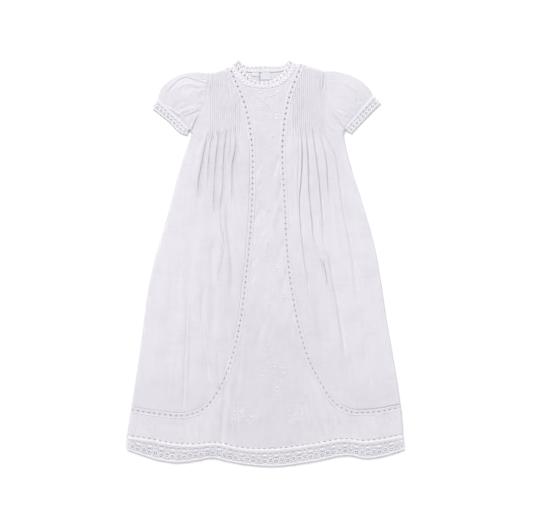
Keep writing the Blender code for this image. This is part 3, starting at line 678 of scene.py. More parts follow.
def pleated(points, pleats, sign):
    # each pleat: a fold that stands up towards the middle of the gown and drops into a groove
    rise = np.zeros(points.shape[:-1])
    for spots, half, depth, fadeOut in pleats:
        line = smoothLine([onPhoto(*spot) for spot in spots], 3.0)
        outward = (points[..., 0] - np.interp(points[..., 1], line[::-1, 1], line[::-1, 0])) * sign
        down = line[0, 1] - points[..., 1]
        length = line[0, 1] - line[-1, 1]
        fade = ease(down, -3, 5) * (1 - ease(down, length - fadeOut, length + fadeOut * 0.6))
        groove = 1 - ease(abs(outward), 0.38 * half, half)
        lip = np.exp(-np.maximum(abs(outward) - half, 0) / (1.5 * half))
        rise += fade * (0.34 * depth * lip * np.where(outward < 0, 1, -0.35) * (1 - groove)
                        - depth * groove)
    return rise


def makeSideFront(name, half, sign, pleats, creases, yokeCreases):
    grid, yokeShare, tuckLift, side, outer, top = sideFrontGrid(half, sign)
    followPleats(grid, pleats)
    x, y = grid[..., 0], grid[..., 1]
    start, stop = (abs(end) for end in half["tucks"])
    chestRow = grid[sideFront["yokeRows"] - 1]
    atChest = abs(chestRow[:, 0])          # each column's distance from the gown's middle there
    below = chestRow[:, 1] - y
    height = layers["frontTop"] + softFolds(grid)
    # the tucks, each stitched down at its shoulder and let go at the chest
    strength = np.clip(yokeShare[:, None] * 30, 0, 1) * (1 + 0.5 * ease(below, -6, 0))
    strength *= np.exp(-np.maximum(below, 0) / 11)
    wobble = 1 + 0.18 * np.sin(y * 0.21 + x * 0.9) * np.sin(y * 0.083)
    height += sideFront["tuckHeight"] * tuckLift * strength * wobble
    # what the tucks let go stands up below them and settles down the skirt
    spread = ease(atChest, stop - 20, stop - 3) * (1 - ease(atChest, start + 2, start + 24))
    drop = ease(below, -8, 34) * np.exp(-np.maximum(below, 0) / sideFront["gatherReach"])
    height += sideFront["gatherHeight"] * drop * spread
    height += pleated(grid, pleats, sign) + creased(grid, creases) + creased(grid, yokeCreases)
    # long, very slight waves that every washed skirt has
    inside = ease(awayFrom(grid, outer[::4])[0], 0, 14)
    height += 0.36 * np.sin(x * 0.11 + 0.6 * np.sin(y * 0.021)) * ease(below, 20, 120) * inside
    height += 0.12 * np.sin(y * 0.13 + x * 0.05) * np.sin(x * 0.11) * inside
    height = np.maximum(height, layers["backTop"] + 0.8)
    shoulderEdge = top[(abs(top[:, 0]) >= abs(outer[0, 0])) & (abs(top[:, 0]) <= start)]
    height = rollDown(grid, height, [side, shoulderEdge])
    rows = np.concatenate([grid, height[..., None]], -1)
    # painted shade over the tucks and in the released pleats below them; lower down, the cloth beside
    # the insertion is darkened too
    bySeam = 1 - ease(awayFrom(grid, outer[::4])[0], 15, 75)
    byArm = ease(atChest, start + 2, start + 24)
    loose = ease(below, -4, 45) * byArm + ease(below, 60, 190) * (1 - byArm)
    toneAndShade = 0.75 * (1 - loose) + 0.75 * bySeam * ease(below, 130, 250)
    return clothSheet(name + "_cloth", rows, grid, layers["cloth"], wovenBatiste, toneAndShade=toneAndShade)


leftFront = makeSideFront("side_front_left", leftHalf, -1, sideFront["leftPleats"],
                          sideFront["leftCreases"], sideFront["leftYoke"])
rightFront = makeSideFront("side_front_right", rightHalf, 1, sideFront["rightPleats"],
                           sideFront["rightCreases"], sideFront["rightYoke"])
print("side fronts made")


# The embroidered middle of the front and the band above the hem that it widens into.
centreFront = {
    "columns": 130, "rows": 215, "hemRows": 24,
    "hemLift": 2.5,        # the lace over the hem starts this far up
    "middle": [(0.0, 291), (0.08, 247), (0.2, 165), (0.66, -160), (0.78, -228), (1.0, -285)],
    "creases": [
        ([(250.6, 119), (256, 121.6), (262, 120.4)], 1.9, -0.6, 5, 7, 0),
        ([(278, 122), (284, 119.6), (289.4, 116.6)], 1.8, -0.7, 5, 7, 0),
        ([(281, 131), (285, 128), (289, 124)], 1.6, -0.6, 5, 7, 0),
        ([(283.4, 150), (276, 166), (271, 186)], 3.5, -0.9, 20, 28, 0),
        ([(254, 134), (262, 146), (266, 158)], 3.5, -0.8, 20, 28, 0),
        ([(285, 176), (278, 196), (272, 216)], 3.9, -1.0, 20, 28, 0),
        ([(286, 200), (281, 218), (274, 238)], 4.2, -0.9, 20, 28, 0),
        ([(287.4, 232), (281, 250), (275, 270)], 4.2, -1.1, 20, 28, 0),
        ([(253, 194), (260, 208), (263, 224)], 3.5, -0.8, 20, 28, 0),
        ([(251, 234), (258, 250), (262, 266)], 4.2, 0.8, 20, 28, 0),
        ([(289.4, 262), (284, 282), (279, 300)], 4.5, -1.0, 20, 28, 0),
        ([(249, 290), (256, 306), (260, 322)], 4.2, -0.9, 20, 28, 0),
        ([(293, 300), (286, 322), (282, 340)], 4.9, 0.8, 20, 28, 0),
        ([(264, 318), (259, 338), (257, 358)], 4.5, -1.0, 20, 28, 0),
        ([(279, 330), (284, 352), (287, 372)], 4.9, -0.9, 20, 28, 0),
        ([(247, 330), (244, 350), (240, 372)], 4.9, 0.8, 20, 28, 0),
        ([(299, 352), (304, 378), (307, 398)], 4.9, -0.9, 20, 28, 0),
        ([(262.4, 160), (260, 166), (256.4, 174)], 2.6, -0.8, 4, 6, 0),
        ([(262, 182), (259, 186), (255.4, 192)], 2.6, -0.8, 4, 6, 0),
        ([(264, 207), (258.5, 213), (252.8, 223)], 3.0, -0.9, 5, 8, 0),
        ([(257, 258), (254, 262), (250.6, 266)], 2.4, -0.7, 4, 5, 0),
        ([(257.4, 274), (254, 277), (250, 280.6)], 2.2, -0.6, 4, 5, 0),
        ([(281, 207), (278, 216), (274.6, 229)], 3.0, -0.7, 6, 8, 0),
        ([(270, 226), (262, 240), (255, 252)], 4.0, 0.5, 8, 10, 0),
        ([(284, 150), (279, 170), (273, 192)], 4.5, 0.45, 10, 12, 0),
        ([(252, 300), (258, 330), (256, 360)], 6.0, -0.5, 20, 20, 0),
        ([(281, 285), (288, 312), (290, 342)], 5.0, -0.5, 20, 20, 0),
        ([(274, 310), (266, 335), (268, 352)], 5.0, 0.4, 15, 15, 0),
        ([(240, 352), (238, 380), (232, 404)], 4.0, -0.6, 20, 20, 1),
        ([(224.8, 400), (223.4, 415), (221.2, 447)], 3.0, -1.7, 8, 12, 1),
        ([(229.5, 412), (231, 428), (233.4, 447)], 2.4, -0.8, 8, 10, 1),
        ([(182, 417), (186, 432), (189, 446)], 3.0, -0.8, 6, 10, 0),
        ([(200, 415), (197, 430), (198, 445)], 3.6, 0.5, 8, 10, 0),
        ([(305.8, 395), (310, 408), (315.6, 424)], 3.0, -0.9, 8, 10, 0),
        ([(310.6, 378), (317.4, 398), (322, 422), (330, 442)], 3.2, 1.2, 12, 16, 0),
        ([(329, 398), (334, 412), (339.6, 430)], 3.6, -1.4, 8, 12, -1),
        ([(352, 412), (356, 428), (361, 441)], 3.0, -0.6, 8, 10, 0),
        ([(376, 409), (380, 424), (383, 436)], 3.2, 0.6, 6, 8, 0),
    ],
}


def centreHeight(points):
    px, py = points[..., 0], points[..., 1]
    height = layers["frontTop"] + softFolds(points) + creased(points, centreFront["creases"])
    height += 0.16 * np.sin(px * 0.12 + 0.8 * np.sin(py * 0.03)) * ease(200 - py, 0, 200)
    height += 0.10 * np.sin(py * 0.16 + px * 0.07) * np.sin(px * 0.13 - py * 0.02)
    height = np.maximum(height, layers["backTop"] + 0.8)
    return rollDown(points, height, [smoothLine(leftHalf["side"]), smoothLine(rightHalf["side"])])


def makeCentreFront():
    left = beyond(sideways(smoothLine(leftHalf["seam"]), layers["laceHalf"]), shoulderFence)
    right = beyond(sideways(smoothLine(rightHalf["seam"]), -layers["laceHalf"]), shoulderFence)
    inNeck = (shoulderFence[:, 0] > left[0, 0]) & (shoulderFence[:, 0] < right[0, 0])
    inNeck &= (shoulderFence[:, 1] < left[0, 1]) | (shoulderFence[:, 0] > 0)
    neck = np.concatenate([left[:1], shoulderFence[inNeck] - [0, layers["gap"]], right[:1]])
    u = np.linspace(0, 1, centreFront["columns"] + 1)
    turn = 1.2 / 446
    u = np.concatenate([[0, turn, 2 * turn, 3 * turn], u[2:-2], [1 - 3 * turn, 1 - 2 * turn,
                                                                 1 - turn, 1]])
    shares = np.linspace(0, 1, centreFront["rows"])
    marks, heights = np.array(centreFront["middle"]).T

    def row(share):
        a, b = pointsAlong(left, [share])[0], pointsAlong(right, [share])[0]
        points = a * (1 - u[:, None]) + b * u[:, None]
        points[:, 1] += (np.interp(share, marks, heights) - (a[1] + b[1]) / 2) * 4 * u * (1 - u)
        return points

    top, under = pointsAlong(neck, u), row(0.03)
    rows = []
    for share in shares:
        t = share / 0.03
        rows.append(top * (1 - t) + under * t if share < 0.03 else row(share))
    last = rows[-1]
    x = hemLine[0, 0] + (hemLine[-1, 0] - hemLine[0, 0]) * u
    low = np.stack([x, heightOn(hemLine, x) + centreFront["hemLift"] - layers["lap"]], -1)
    for n in range(1, centreFront["hemRows"] + 1):
        t = n / centreFront["hemRows"]
        rows.append(last * (1 - t) + low * t)
    grid = np.array(rows)
    rows = np.concatenate([grid, centreHeight(grid)[..., None]], -1)
    # the embroidered middle, and the plain hem band at both sides of it
    toneAndShade = 0.35 + 0.4 * ease(grid[..., 1], 20, 180) + 0.65 * ease(-grid[..., 1], 50, 130)
    toneAndShade *= 1 - 0.75 * ease(abs(grid[..., 0] - 4), 35, 110)
    return clothSheet("front_centre_cloth", rows, grid, layers["cloth"], wovenBatiste,
                      toneAndShade=toneAndShade)


centreCloth = makeCentreFront()
print("centre front made")

# White satin stitch on the middle panel, as placed on the photo: flowers (place, radius in mm,
# petals), leaves (place, length in mm, turn in degrees), stems (their points) and single dots.
embroidery = {
    "height": 0.65, "sunk": 0.1,
    "neck": {
        "flowers": [(266.8, 97.2, 3.8, 6), (259.9, 107.4, 4.6, 7), (266.4, 115, 3.2, 5)],
        "leaves": [(277.4, 91.6, 9, -6), (260.4, 92.6, 8.5, 8), (276.6, 111.6, 6, 14),
                   (277, 114.8, 6.4, -2), (276.6, 118.4, 6.8, -14), (271.2, 96.6, 5, -40),
                   (273.4, 103.4, 6, 20), (252.8, 97.6, 5, 60), (267.6, 105.2, 5, -30),
                   (271.4, 107.4, 4.5, 45)],
        "stems": [[(256, 96), (262, 100), (268, 106), (272, 113)], [(264, 99), (272, 96), (280, 92)]],
        "dots": [(256.6, 111.4), (263.6, 111.5), (254.6, 104), (272.8, 99.6), (280.4, 100.2),
                 (262.4, 118.6), (270.4, 120.6)],
    },
    "sprigs": {
        "flowers": [(268, 243.4, 2.6, 5), (268.6, 210.6, 2.6, 5), (269.4, 304.4, 2.6, 5),
                    (272.6, 136.4, 2.4, 5)],
        "leaves": [(268, 139.4, 4.5, 60), (264.6, 147.4, 5, 100), (263, 150, 3.6, 40),
                   (267.2, 171, 4.6, 80), (268.4, 174, 3.6, 20), (266.4, 214, 4.4, 70),
                   (270.4, 214.4, 4, 130), (266, 250.6, 5, 100), (268, 255, 4.6, 60),
                   (277, 268, 5.4, 40), (274.6, 265, 4.6, 120), (282.6, 297.4, 5, 70),
                   (280.6, 300.4, 4, 20), (267.2, 307.8, 4.4, 50), (271.4, 308.2, 4, 130),
                   (268.9, 345.4, 5.2, 85), (270.4, 349.4, 4.2, 30)],
        "stems": [[(268, 246), (266.6, 251), (267.6, 258)], [(276, 262), (275.4, 267), (278, 272)],
                  [(269.4, 307), (269, 312)], [(269, 350), (268.4, 355)]],
        "dots": [(262.8, 144.4), (270.2, 168.6), (265.4, 176.4), (271.8, 208.4), (263.8, 246.4),
                 (279.6, 264.4), (285, 294.6), (272.6, 301.6), (266.2, 342.6)],
    },
    "spray": {
        "flowers": [(267.6, 363, 4.6, 7), (272.8, 371.8, 3.4, 6), (268.4, 378.4, 3.2, 5)],
        "leaves": [(274.6, 366.8, 6.5, -4), (283.4, 368.4, 9, -2), (283.6, 373.2, 8, 4),
                   (272.6, 380, 5.6, 80), (276.8, 381.4, 6, 66), (281.6, 381.4, 7.4, 84),
                   (277.2, 387.6, 5.4, 14), (274, 391, 5.4, 30), (277.6, 391.6, 4.6, -4),
                   (263.4, 371.6, 5, 30), (262, 376, 5, -20), (273, 359.4, 4.4, 40),
                   (264.4, 357, 4.6, 120)],
        "stems": [[(269, 366), (271.4, 374), (273.6, 384), (275.4, 392)],
                  [(273, 370), (280, 369), (288, 368.6)]],
        "dots": [(264, 359.6), (271.6, 360), (263.6, 366.6), (271.6, 366.4), (287.4, 376.4),
                 (266.2, 373.4), (270.6, 386.6), (281.4, 388.4)],
    },
    "hemLeft": {
        "flowers": [(242.4, 411.6, 5.4, 8), (247, 420.8, 3.0, 5)],
        "leaves": [(233.8, 402, 6.5, 65), (235, 411.6, 6, 20), (233.2, 419.4, 8.6, 88),
                   (235.6, 419.8, 8, 92), (238.2, 420, 7.4, 96), (244, 416.4, 7, 2),
                   (251.6, 416.8, 9, 4), (254.4, 420.4, 5, -20), (250.2, 423.4, 5, 10),
                   (249.2, 409.6, 5, 40), (238.6, 404.4, 4.6, 110)],
        "stems": [[(234, 405), (238, 410), (240, 416)], [(246, 414), (252, 418), (257, 419)]],
        "dots": [(237.2, 407.4), (247, 405.6), (231, 407.6), (256.6, 414.4)],
    },
    "hemRight": {
        "flowers": [(296.3, 413.6, 5.0, 6), (304, 401.4, 2.6, 5)],
        "leaves": [(293.4, 420, 7.4, 58), (298.8, 419.8, 7.4, -62), (301.8, 409.4, 5.6, 24),
                   (303.4, 414.2, 6, -4), (302.4, 419.2, 5, -40), (289.8, 411, 5, -24),
                   (289.6, 416, 5, 20), (290, 422.4, 5, 40), (296.6, 405.8, 4.6, 92),
                   (300.8, 404.6, 4, 40)],
        "stems": [[(298, 409), (301, 405), (304, 402)], [(296, 417), (296.4, 422), (295.4, 427)]],
        "dots": [(292.6, 406.6), (306.4, 408.6), (286.4, 413.4), (299.6, 424.6), (292.4, 426)],
    },
}


def stitchForm(name, segments, rings):
    # one padded stitch, half sunk in the cloth, 1 mm long and wide, its thread across it
    bpy.ops.object.select_all(action="DESELECT")
    bpy.ops.mesh.primitive_uv_sphere_add(segments=segments, ring_count=rings, radius=0.0005)
    form = bpy.context.object
    form.name = name
    bpy.ops.object.mode_set(mode="EDIT")
    bpy.ops.mesh.select_all(action="SELECT")
    # its poles become the leaf's tips
    bpy.ops.transform.rotate(value=math.pi / 2, orient_axis="Y", center_override=(0, 0, 0))
    bpy.ops.object.mode_set(mode="OBJECT")
    bpy.ops.object.shade_smooth()
    form.data.uv_layers[0].name = "cloth"
    form.data.materials.append(satinCotton)
    return form


def placeStitch(form, x, y, length, width, height, turn):
    # a copy of the form in its place, with its tips drawn to points
    copy = form.copy()
    copy.data = form.data.copy()
    bpy.context.collection.objects.link(copy)
    mesh = copy.data
    local = np.empty(len(mesh.vertices) * 3)
    mesh.vertices.foreach_get("co", local)
    local = local.reshape(-1, 3) * 1000
    narrow = 1 - 0.35 * abs(local[:, 0] * 2) ** 2
    local *= [length, width, height * 2]
    local[:, 1] *= narrow
    corners = np.empty(len(mesh.loops), int)
    mesh.loops.foreach_get("vertex_index", corners)
    mesh.uv_layers["cloth"].uv.foreach_set("vector", (local[corners][:, :2] * 0.001).ravel())
    c, s = math.cos(turn), math.sin(turn)
    flat = np.stack([x + local[:, 0] * c - local[:, 1] * s, y + local[:, 0] * s + local[:, 1] * c], -1)
    placed = np.concatenate([flat, local[:, 2:]], -1) - np.array([*gownCentre, 0])
    mesh.vertices.foreach_set("co", (placed * 0.001).ravel())
    mesh.update()
    return copy


def makeSpray(name, motif, leafForm, dotForm):
    parts = []
    tall = embroidery["height"]
    for px, py, radius, petals in motif["flowers"]:
        x, y = onPhoto(px, py)
        for k in range(petals):
            turn = 2 * math.pi * (k + 0.3) / petals
            parts.append(placeStitch(leafForm, x + math.cos(turn) * radius * 0.62,
                                     y + math.sin(turn) * radius * 0.62, radius * 0.8,
                                     radius * 2.6 / petals + 0.4, tall, turn))
        parts.append(placeStitch(dotForm, x, y, radius * 0.42, radius * 0.42, tall, 0))
    for px, py, length, degrees in motif["leaves"]:
        x, y = onPhoto(px, py)
        parts.append(placeStitch(leafForm, x, y, length, 1.3 + length * 0.2, tall,
                                 math.radians(degrees)))
    for px, py in motif["dots"]:
        x, y = onPhoto(px, py)
        parts.append(placeStitch(dotForm, x, y, 2.1, 2.1, tall, 0))
    for spots in motif["stems"]:
        line = smoothLine([onPhoto(*spot) for spot in spots], 2.4)
        for a, b in zip(line, line[1:]):
            run = b - a
            x, y = (a + b) / 2
            parts.append(placeStitch(leafForm, x, y, np.linalg.norm(run) * 1.5, 1.0, 0.6,
                                     math.atan2(run[1], run[0])))
    bpy.ops.object.select_all(action="DESELECT")
    for part in parts:
        part.select_set(True)
    bpy.context.view_layer.objects.active = parts[0]
    bpy.ops.object.join()
    piece = bpy.context.object
    piece.name = piece.data.name = "embroidery_" + name + "_satin"
    # lay the stitches on the panel's surface
    spots = np.empty(len(piece.data.vertices) * 3)
    piece.data.vertices.foreach_get("co", spots)
    spots = spots.reshape(-1, 3)
    surface = centreHeight(spots[:, :2] * 1000 + np.array(gownCentre)) - embroidery["sunk"]
    spots[:, 2] += surface * 0.001
    piece.data.vertices.foreach_set("co", spots.ravel())
    return piece


leafForm, dotForm = stitchForm("leafStitch", 8, 5), stitchForm("dotStitch", 8, 4)
sprays = [makeSpray(name, embroidery[name], leafForm, dotForm)
          for name in ("neck", "sprigs", "spray", "hemLeft", "hemRight")]
for form in (leafForm, dotForm):
    bpy.data.objects.remove(form)
print("embroidery made")


def laceStrip(name, place, length, width, cell, pattern, closed=False, opened=False):
    # Lace: place(s, t) gives the points in mm, s along it and t across it. pattern(s, t) is above
    # zero where there is thread, about as many mm as the edge is away, and gives the relief.
    wide, high = max(2, round(length / cell)), max(2, round(width / cell))
    s, t = np.meshgrid(np.linspace(0, length, wide + 1), np.linspace(0, width, high + 1))
    midS = (s[1:, 1:] + s[:-1, :-1]) / 2
    midT = (t[1:, 1:] + t[:-1, :-1]) / 2
    keep = pattern(midS, midT)[0] > 0
    if closed:
        keep[:, [0, -1]] = True     # the narrow seam that joins it into a ring
    # faces that would touch at a corner only are joined by a third one
    for _ in range(2):
        falling = keep[:-1, :-1] & keep[1:, 1:] & ~keep[:-1, 1:] & ~keep[1:, :-1]
        rising = keep[:-1, 1:] & keep[1:, :-1] & ~keep[:-1, :-1] & ~keep[1:, 1:]
        keep[:-1, 1:] |= falling
        keep[:-1, :-1] |= rising
    touched = np.zeros((high + 1, wide + 1, 2), bool)
    for dy in (0, 1):
        for dx in (0, 1):
            corner = touched[dy:high + dy, dx:wide + dx]
            corner[..., 0] |= keep
            corner[..., 1] |= ~keep
    rim = touched.all(axis=-1)
    rim[:, 0] = rim[:, -1] = False
    # pull the rim of each hole onto the thread's true edge
    probe = 0.05      # mm to each side, for the slope of the pattern
    for _ in range(2):
        value = pattern(s, t)[0]
        slopeS = (pattern(s + probe, t)[0] - pattern(s - probe, t)[0]) / (2 * probe)
        slopeT = (pattern(s, t + probe)[0] - pattern(s, t - probe)[0]) / (2 * probe)
        steep = np.maximum(slopeS ** 2 + slopeT ** 2, 0.2)
        s = s + np.where(rim, np.clip(-value * slopeS / steep, -0.3 * cell, 0.3 * cell), 0)
        t = t + np.where(rim, np.clip(-value * slopeT / steep, -0.3 * cell, 0.3 * cell), 0)
    relief = pattern(s, t)[1]
    if closed:
        relief[:, [0, -1]] = 0
    points = place(s, t)
    points[..., 2] += relief * ((points[..., 2] > 1.6) | (not (closed or opened)))
    uv = np.stack([s, t], -1)
    # raised figures take the lighter lace colour, the net between them the painted shade colour
    return clothSheet(name, points, uv, layers["lace"], laceCotton, closed, keep, opened,
                      np.clip(relief / 0.25, 0, 1))


def onFront(points):
    # the front's upper side over these places, rolled down at the outline
    height = layers["frontTop"] + softFolds(points)
    return rollDown(points, height, [smoothLine(leftHalf["side"], 4), smoothLine(rightHalf["side"], 4)])


def bar(distance, half):
    return half - np.abs(distance)


def repeat(s, pitch, shift=0.0):
    # distance to the nearest of a row of places one pitch apart
    return (s - shift + pitch / 2) % pitch - pitch / 2


# Val lace insertion: two raised cords with a row of oval openings between them.
# The openings are pulled a little wider near the neck than down the skirt.
insertionLace = {"pitch": 9.13, "hole": (1.3, 0.85), "cord": 0.95, "cell": 0.64}


def insertionPattern(width):
    def pattern(s, t):
        look = insertionLace
        across = t - width / 2
        along = repeat(s, look["pitch"])
        size = 1.15 - 0.17 * ease(s, 60, 260)
        hole = 1 - np.hypot(along / look["hole"][0], across / look["hole"][1]) / size
        thread = -hole
        cord = np.clip(1 - (abs(abs(across) - (width / 2 - look["cord"])) / look["cord"]) ** 2, 0, 1)
        relief = 0.35 * np.sqrt(cord)
        edge = width / 2 - np.abs(across)
        return np.where(edge < look["cord"] * 2, 1.0, thread), relief
    return pattern


def makeInsertion(name, half):
    line = beyond(smoothLine(half["seam"]), shoulderFence)
    start = line[0] + (line[0] - line[1]) / np.linalg.norm(line[0] - line[1]) * 5
    line = np.concatenate([[start], line])
    marks = distances(line)
    width = 2 * (layers["laceHalf"] + layers["lap"])
    normal = sideways(line, 1.0) - line

    def place(s, t):
        centre = np.stack([np.interp(s, marks, line[:, k]) for k in (0, 1)], -1)
        way = np.stack([np.interp(s, marks, normal[:, k]) for k in (0, 1)], -1)
        flat = centre + way * (width / 2 - t)[..., None]
        flat[..., 1] = np.minimum(flat[..., 1], heightOn(shoulderFence, flat[..., 0]) - 0.3)
        return np.concatenate([flat, onFront(flat)[..., None] + 0.12], -1)

    piece = laceStrip(name + "_lace", place, marks[-1], width, insertionLace["cell"],
                      insertionPattern(width))
    piece.data.materials[0] = insertionCotton
    return piece


leftInsertion = makeInsertion("insertion_left", leftHalf)
rightInsertion = makeInsertion("insertion_right", rightHalf)
print("insertions made")

# Beading over the hem, then gathered Val edging with a row of medallions, a row of ringed dots
# and a fine scalloped edge.
hemTrim = {
    "beading": 5.0, "slotPitch": 9.1, "slot": (2.1, 0.42),
    "repeat": 19.0, "medallion": (3.7, 1.9), "netPitch": 2.3, "netHole": 0.5,
    "frontCell": 0.52, "backCell": 1.05, "scallop": 4.75,
    "gathers": [(213, 222), (340, 360), (395, 403)],
}


def beadingPattern():
    def pattern(s, t):
        along = repeat(s, hemTrim["slotPitch"])
        slot = np.hypot(np.maximum(abs(along) - hemTrim["slot"][0] + 0.7, 0),
                        t - 1.15) - hemTrim["slot"][1]
        relief = 0.3 * np.sqrt(np.clip(1 - ((t - 4.4) / 2.3) ** 2, 0, 1)) + 0.05
        return slot, relief
    return pattern


def edgingPattern(width):
    def pattern(s, t):
        look = hemTrim
        share = t / width
        near = repeat(s, look["repeat"])
        far = repeat(s, look["repeat"], look["repeat"] / 2)
        # ground of net, as rows of small holes set between each other
        rowPitch = look["netPitch"] * 0.87
        rowNumber = np.round(t / rowPitch)
        netS = repeat(s, look["netPitch"], (rowNumber % 2) * look["netPitch"] / 2)
        net = np.hypot(netS, t - rowNumber * rowPitch) - look["netHole"]
        medallion = (1 - np.hypot(near / look["medallion"][0],
                                  (share - 0.24) * width / look["medallion"][1])) * 1.9
        berry = 1.3 - np.hypot(far, (share - 0.24) * width)
        ringBig = np.hypot(near, (share - 0.68) * width)
        ringSmall = np.hypot(far, (share - 0.58) * width)
        dot = np.maximum(1.55 - ringBig, 1.35 - ringSmall)
        collar = np.maximum(1.0 - abs(ringBig - 4.1), 0.9 - abs(ringSmall - 3.7))
        opened = np.minimum(abs(ringBig - 2.2) - 0.3, abs(ringSmall - 1.95) - 0.28)
        spokes = np.maximum(0.3 - abs(np.sin(2 * np.arctan2((share - 0.68) * width, near))) * ringBig,
                            0.3 - abs(np.sin(2 * np.arctan2((share - 0.58) * width, far)))
                            * ringSmall)
        dash = np.minimum(np.hypot(np.maximum(abs(near) - 2.6, 0), (share - 0.09) * width - 0.2)
                          - 0.3,
                          np.hypot(np.maximum(abs(far) - 1.2, 0), (share - 0.10) * width) - 0.3)
        under = np.hypot(np.maximum(abs(near) - 2.2, 0), (share - 0.40) * width) - 0.36
        wave = 0.5 * (1 - np.cos(2 * math.pi * s / look["scallop"]))
        border = 1.4 - abs((1 - share) * width - 1.4 - 0.4 * wave)
        heading = bar(t, 1.0)
        ground = np.where(share > 0.30, net, np.maximum(net, 0.35 - abs(share - 0.33) * width))
        figures = np.maximum.reduce([medallion, berry, dot, collar, border, heading])
        thread = np.maximum(ground, figures)
        thread = np.minimum(thread, np.maximum(opened, np.maximum(dot, spokes)))
        thread = np.minimum(thread, np.maximum(dash, heading))
        thread = np.minimum(thread, np.maximum(under, -1))
        thread = np.minimum(thread, (1 - share) * width - 0.55 * wave)
        return thread, 0.4 * np.sqrt(np.clip(figures / 1.4, 0, 1))
    return pattern


def gathering(x):
    # how closely the edging is gathered here, from the bunched places seen on the hem
    bunched = np.zeros(x.shape)
    for start, stop in hemTrim["gathers"]:
        a, b = onPhoto(start, 0)[0], onPhoto(stop, 0)[0]
        bunched += np.exp(-((x - (a + b) / 2) / ((b - a) / 1.4)) ** 2)
    return np.clip(bunched, 0, 1)


def makeHemTrim(which, onTop, short, cell):
    first, last = hemLine[0, 0], hemLine[-1, 0]
    if not onTop:
        first, last = first + 4.2, last - 4.2
    lift = centreFront["hemLift"] if onTop else 0.0

    def settle(flat, extra):
        if onTop:
            base = onFront(flat) + extra
        else:
            base = np.full(flat.shape[:-1], layers["backTop"] + 0.1)
        return np.concatenate([flat, base[..., None]], -1)

    def placeBeading(s, t):
        x = first + s
        return settle(np.stack([x, heightOn(hemLine, x) + lift - t], -1), 0.15)

    width = hemTrim["beading"] + lift - layers["gap"]
    beading = laceStrip("hem_beading_" + which + "_lace", placeBeading, last - first, width,
                        cell + 0.05, beadingPattern() if onTop else insertionPattern(width))

    edgeFirst, edgeLast = first - (2 - short) * 0.9, last + (2 - short) * 0.9
    depth = 24.0

    def placeEdging(s, t):
        share = t / depth
        top = first + s
        low = edgeFirst + (edgeLast - edgeFirst) * s / (last - first)
        x = top * (1 - share) + low * share
        yTop = heightOn(hemLine, top) - hemTrim["beading"]
        y = yTop * (1 - share) + (heightOn(hemFreeLine, low) + short) * share
        flat = np.stack([x, y], -1)
        fullness = 0.35 + 1.5 * gathering(x)
        # narrow flutes where it is bunched, slack waves elsewhere
        flutes = np.sin(s * 2 * math.pi / 7.0 + 1.2 * np.sin(s * 0.13)) * gathering(x)
        slack = np.sin(s * 2 * math.pi / 23.0 + 1.7 * np.sin(s * 0.05))
        wave = (0.5 + 0.5 * flutes) * fullness * share ** 0.7 + 0.3 * (1 + slack) * share
        placed = settle(flat, wave + 0.3 if onTop else 0.3 * wave)
        # the free edge of the front lies down on the lace of the back
        if onTop:
            drop = ease(share, 0.3, 1.0)
            placed[..., 2] -= (placed[..., 2] - 1.7 - 0.5 * wave) * drop
        return placed

    edging = laceStrip("hem_lace_" + which + "_lace", placeEdging, last - first, depth, cell,
                       edgingPattern(depth))
    return beading, edging


hemBeadingFront, hemLaceFront = makeHemTrim("front", True, 0.0, hemTrim["frontCell"])
hemBeadingBack, hemLaceBack = makeHemTrim("back", False, 2.0, hemTrim["backCell"])
print("hem trim made")

# The plain back: it lies on the table, open at the neck, with a narrow hem along the opening.
backPanel = {"step": 5.4, "inset": 4.0, "slitDepth": 150, "chestY": 205}


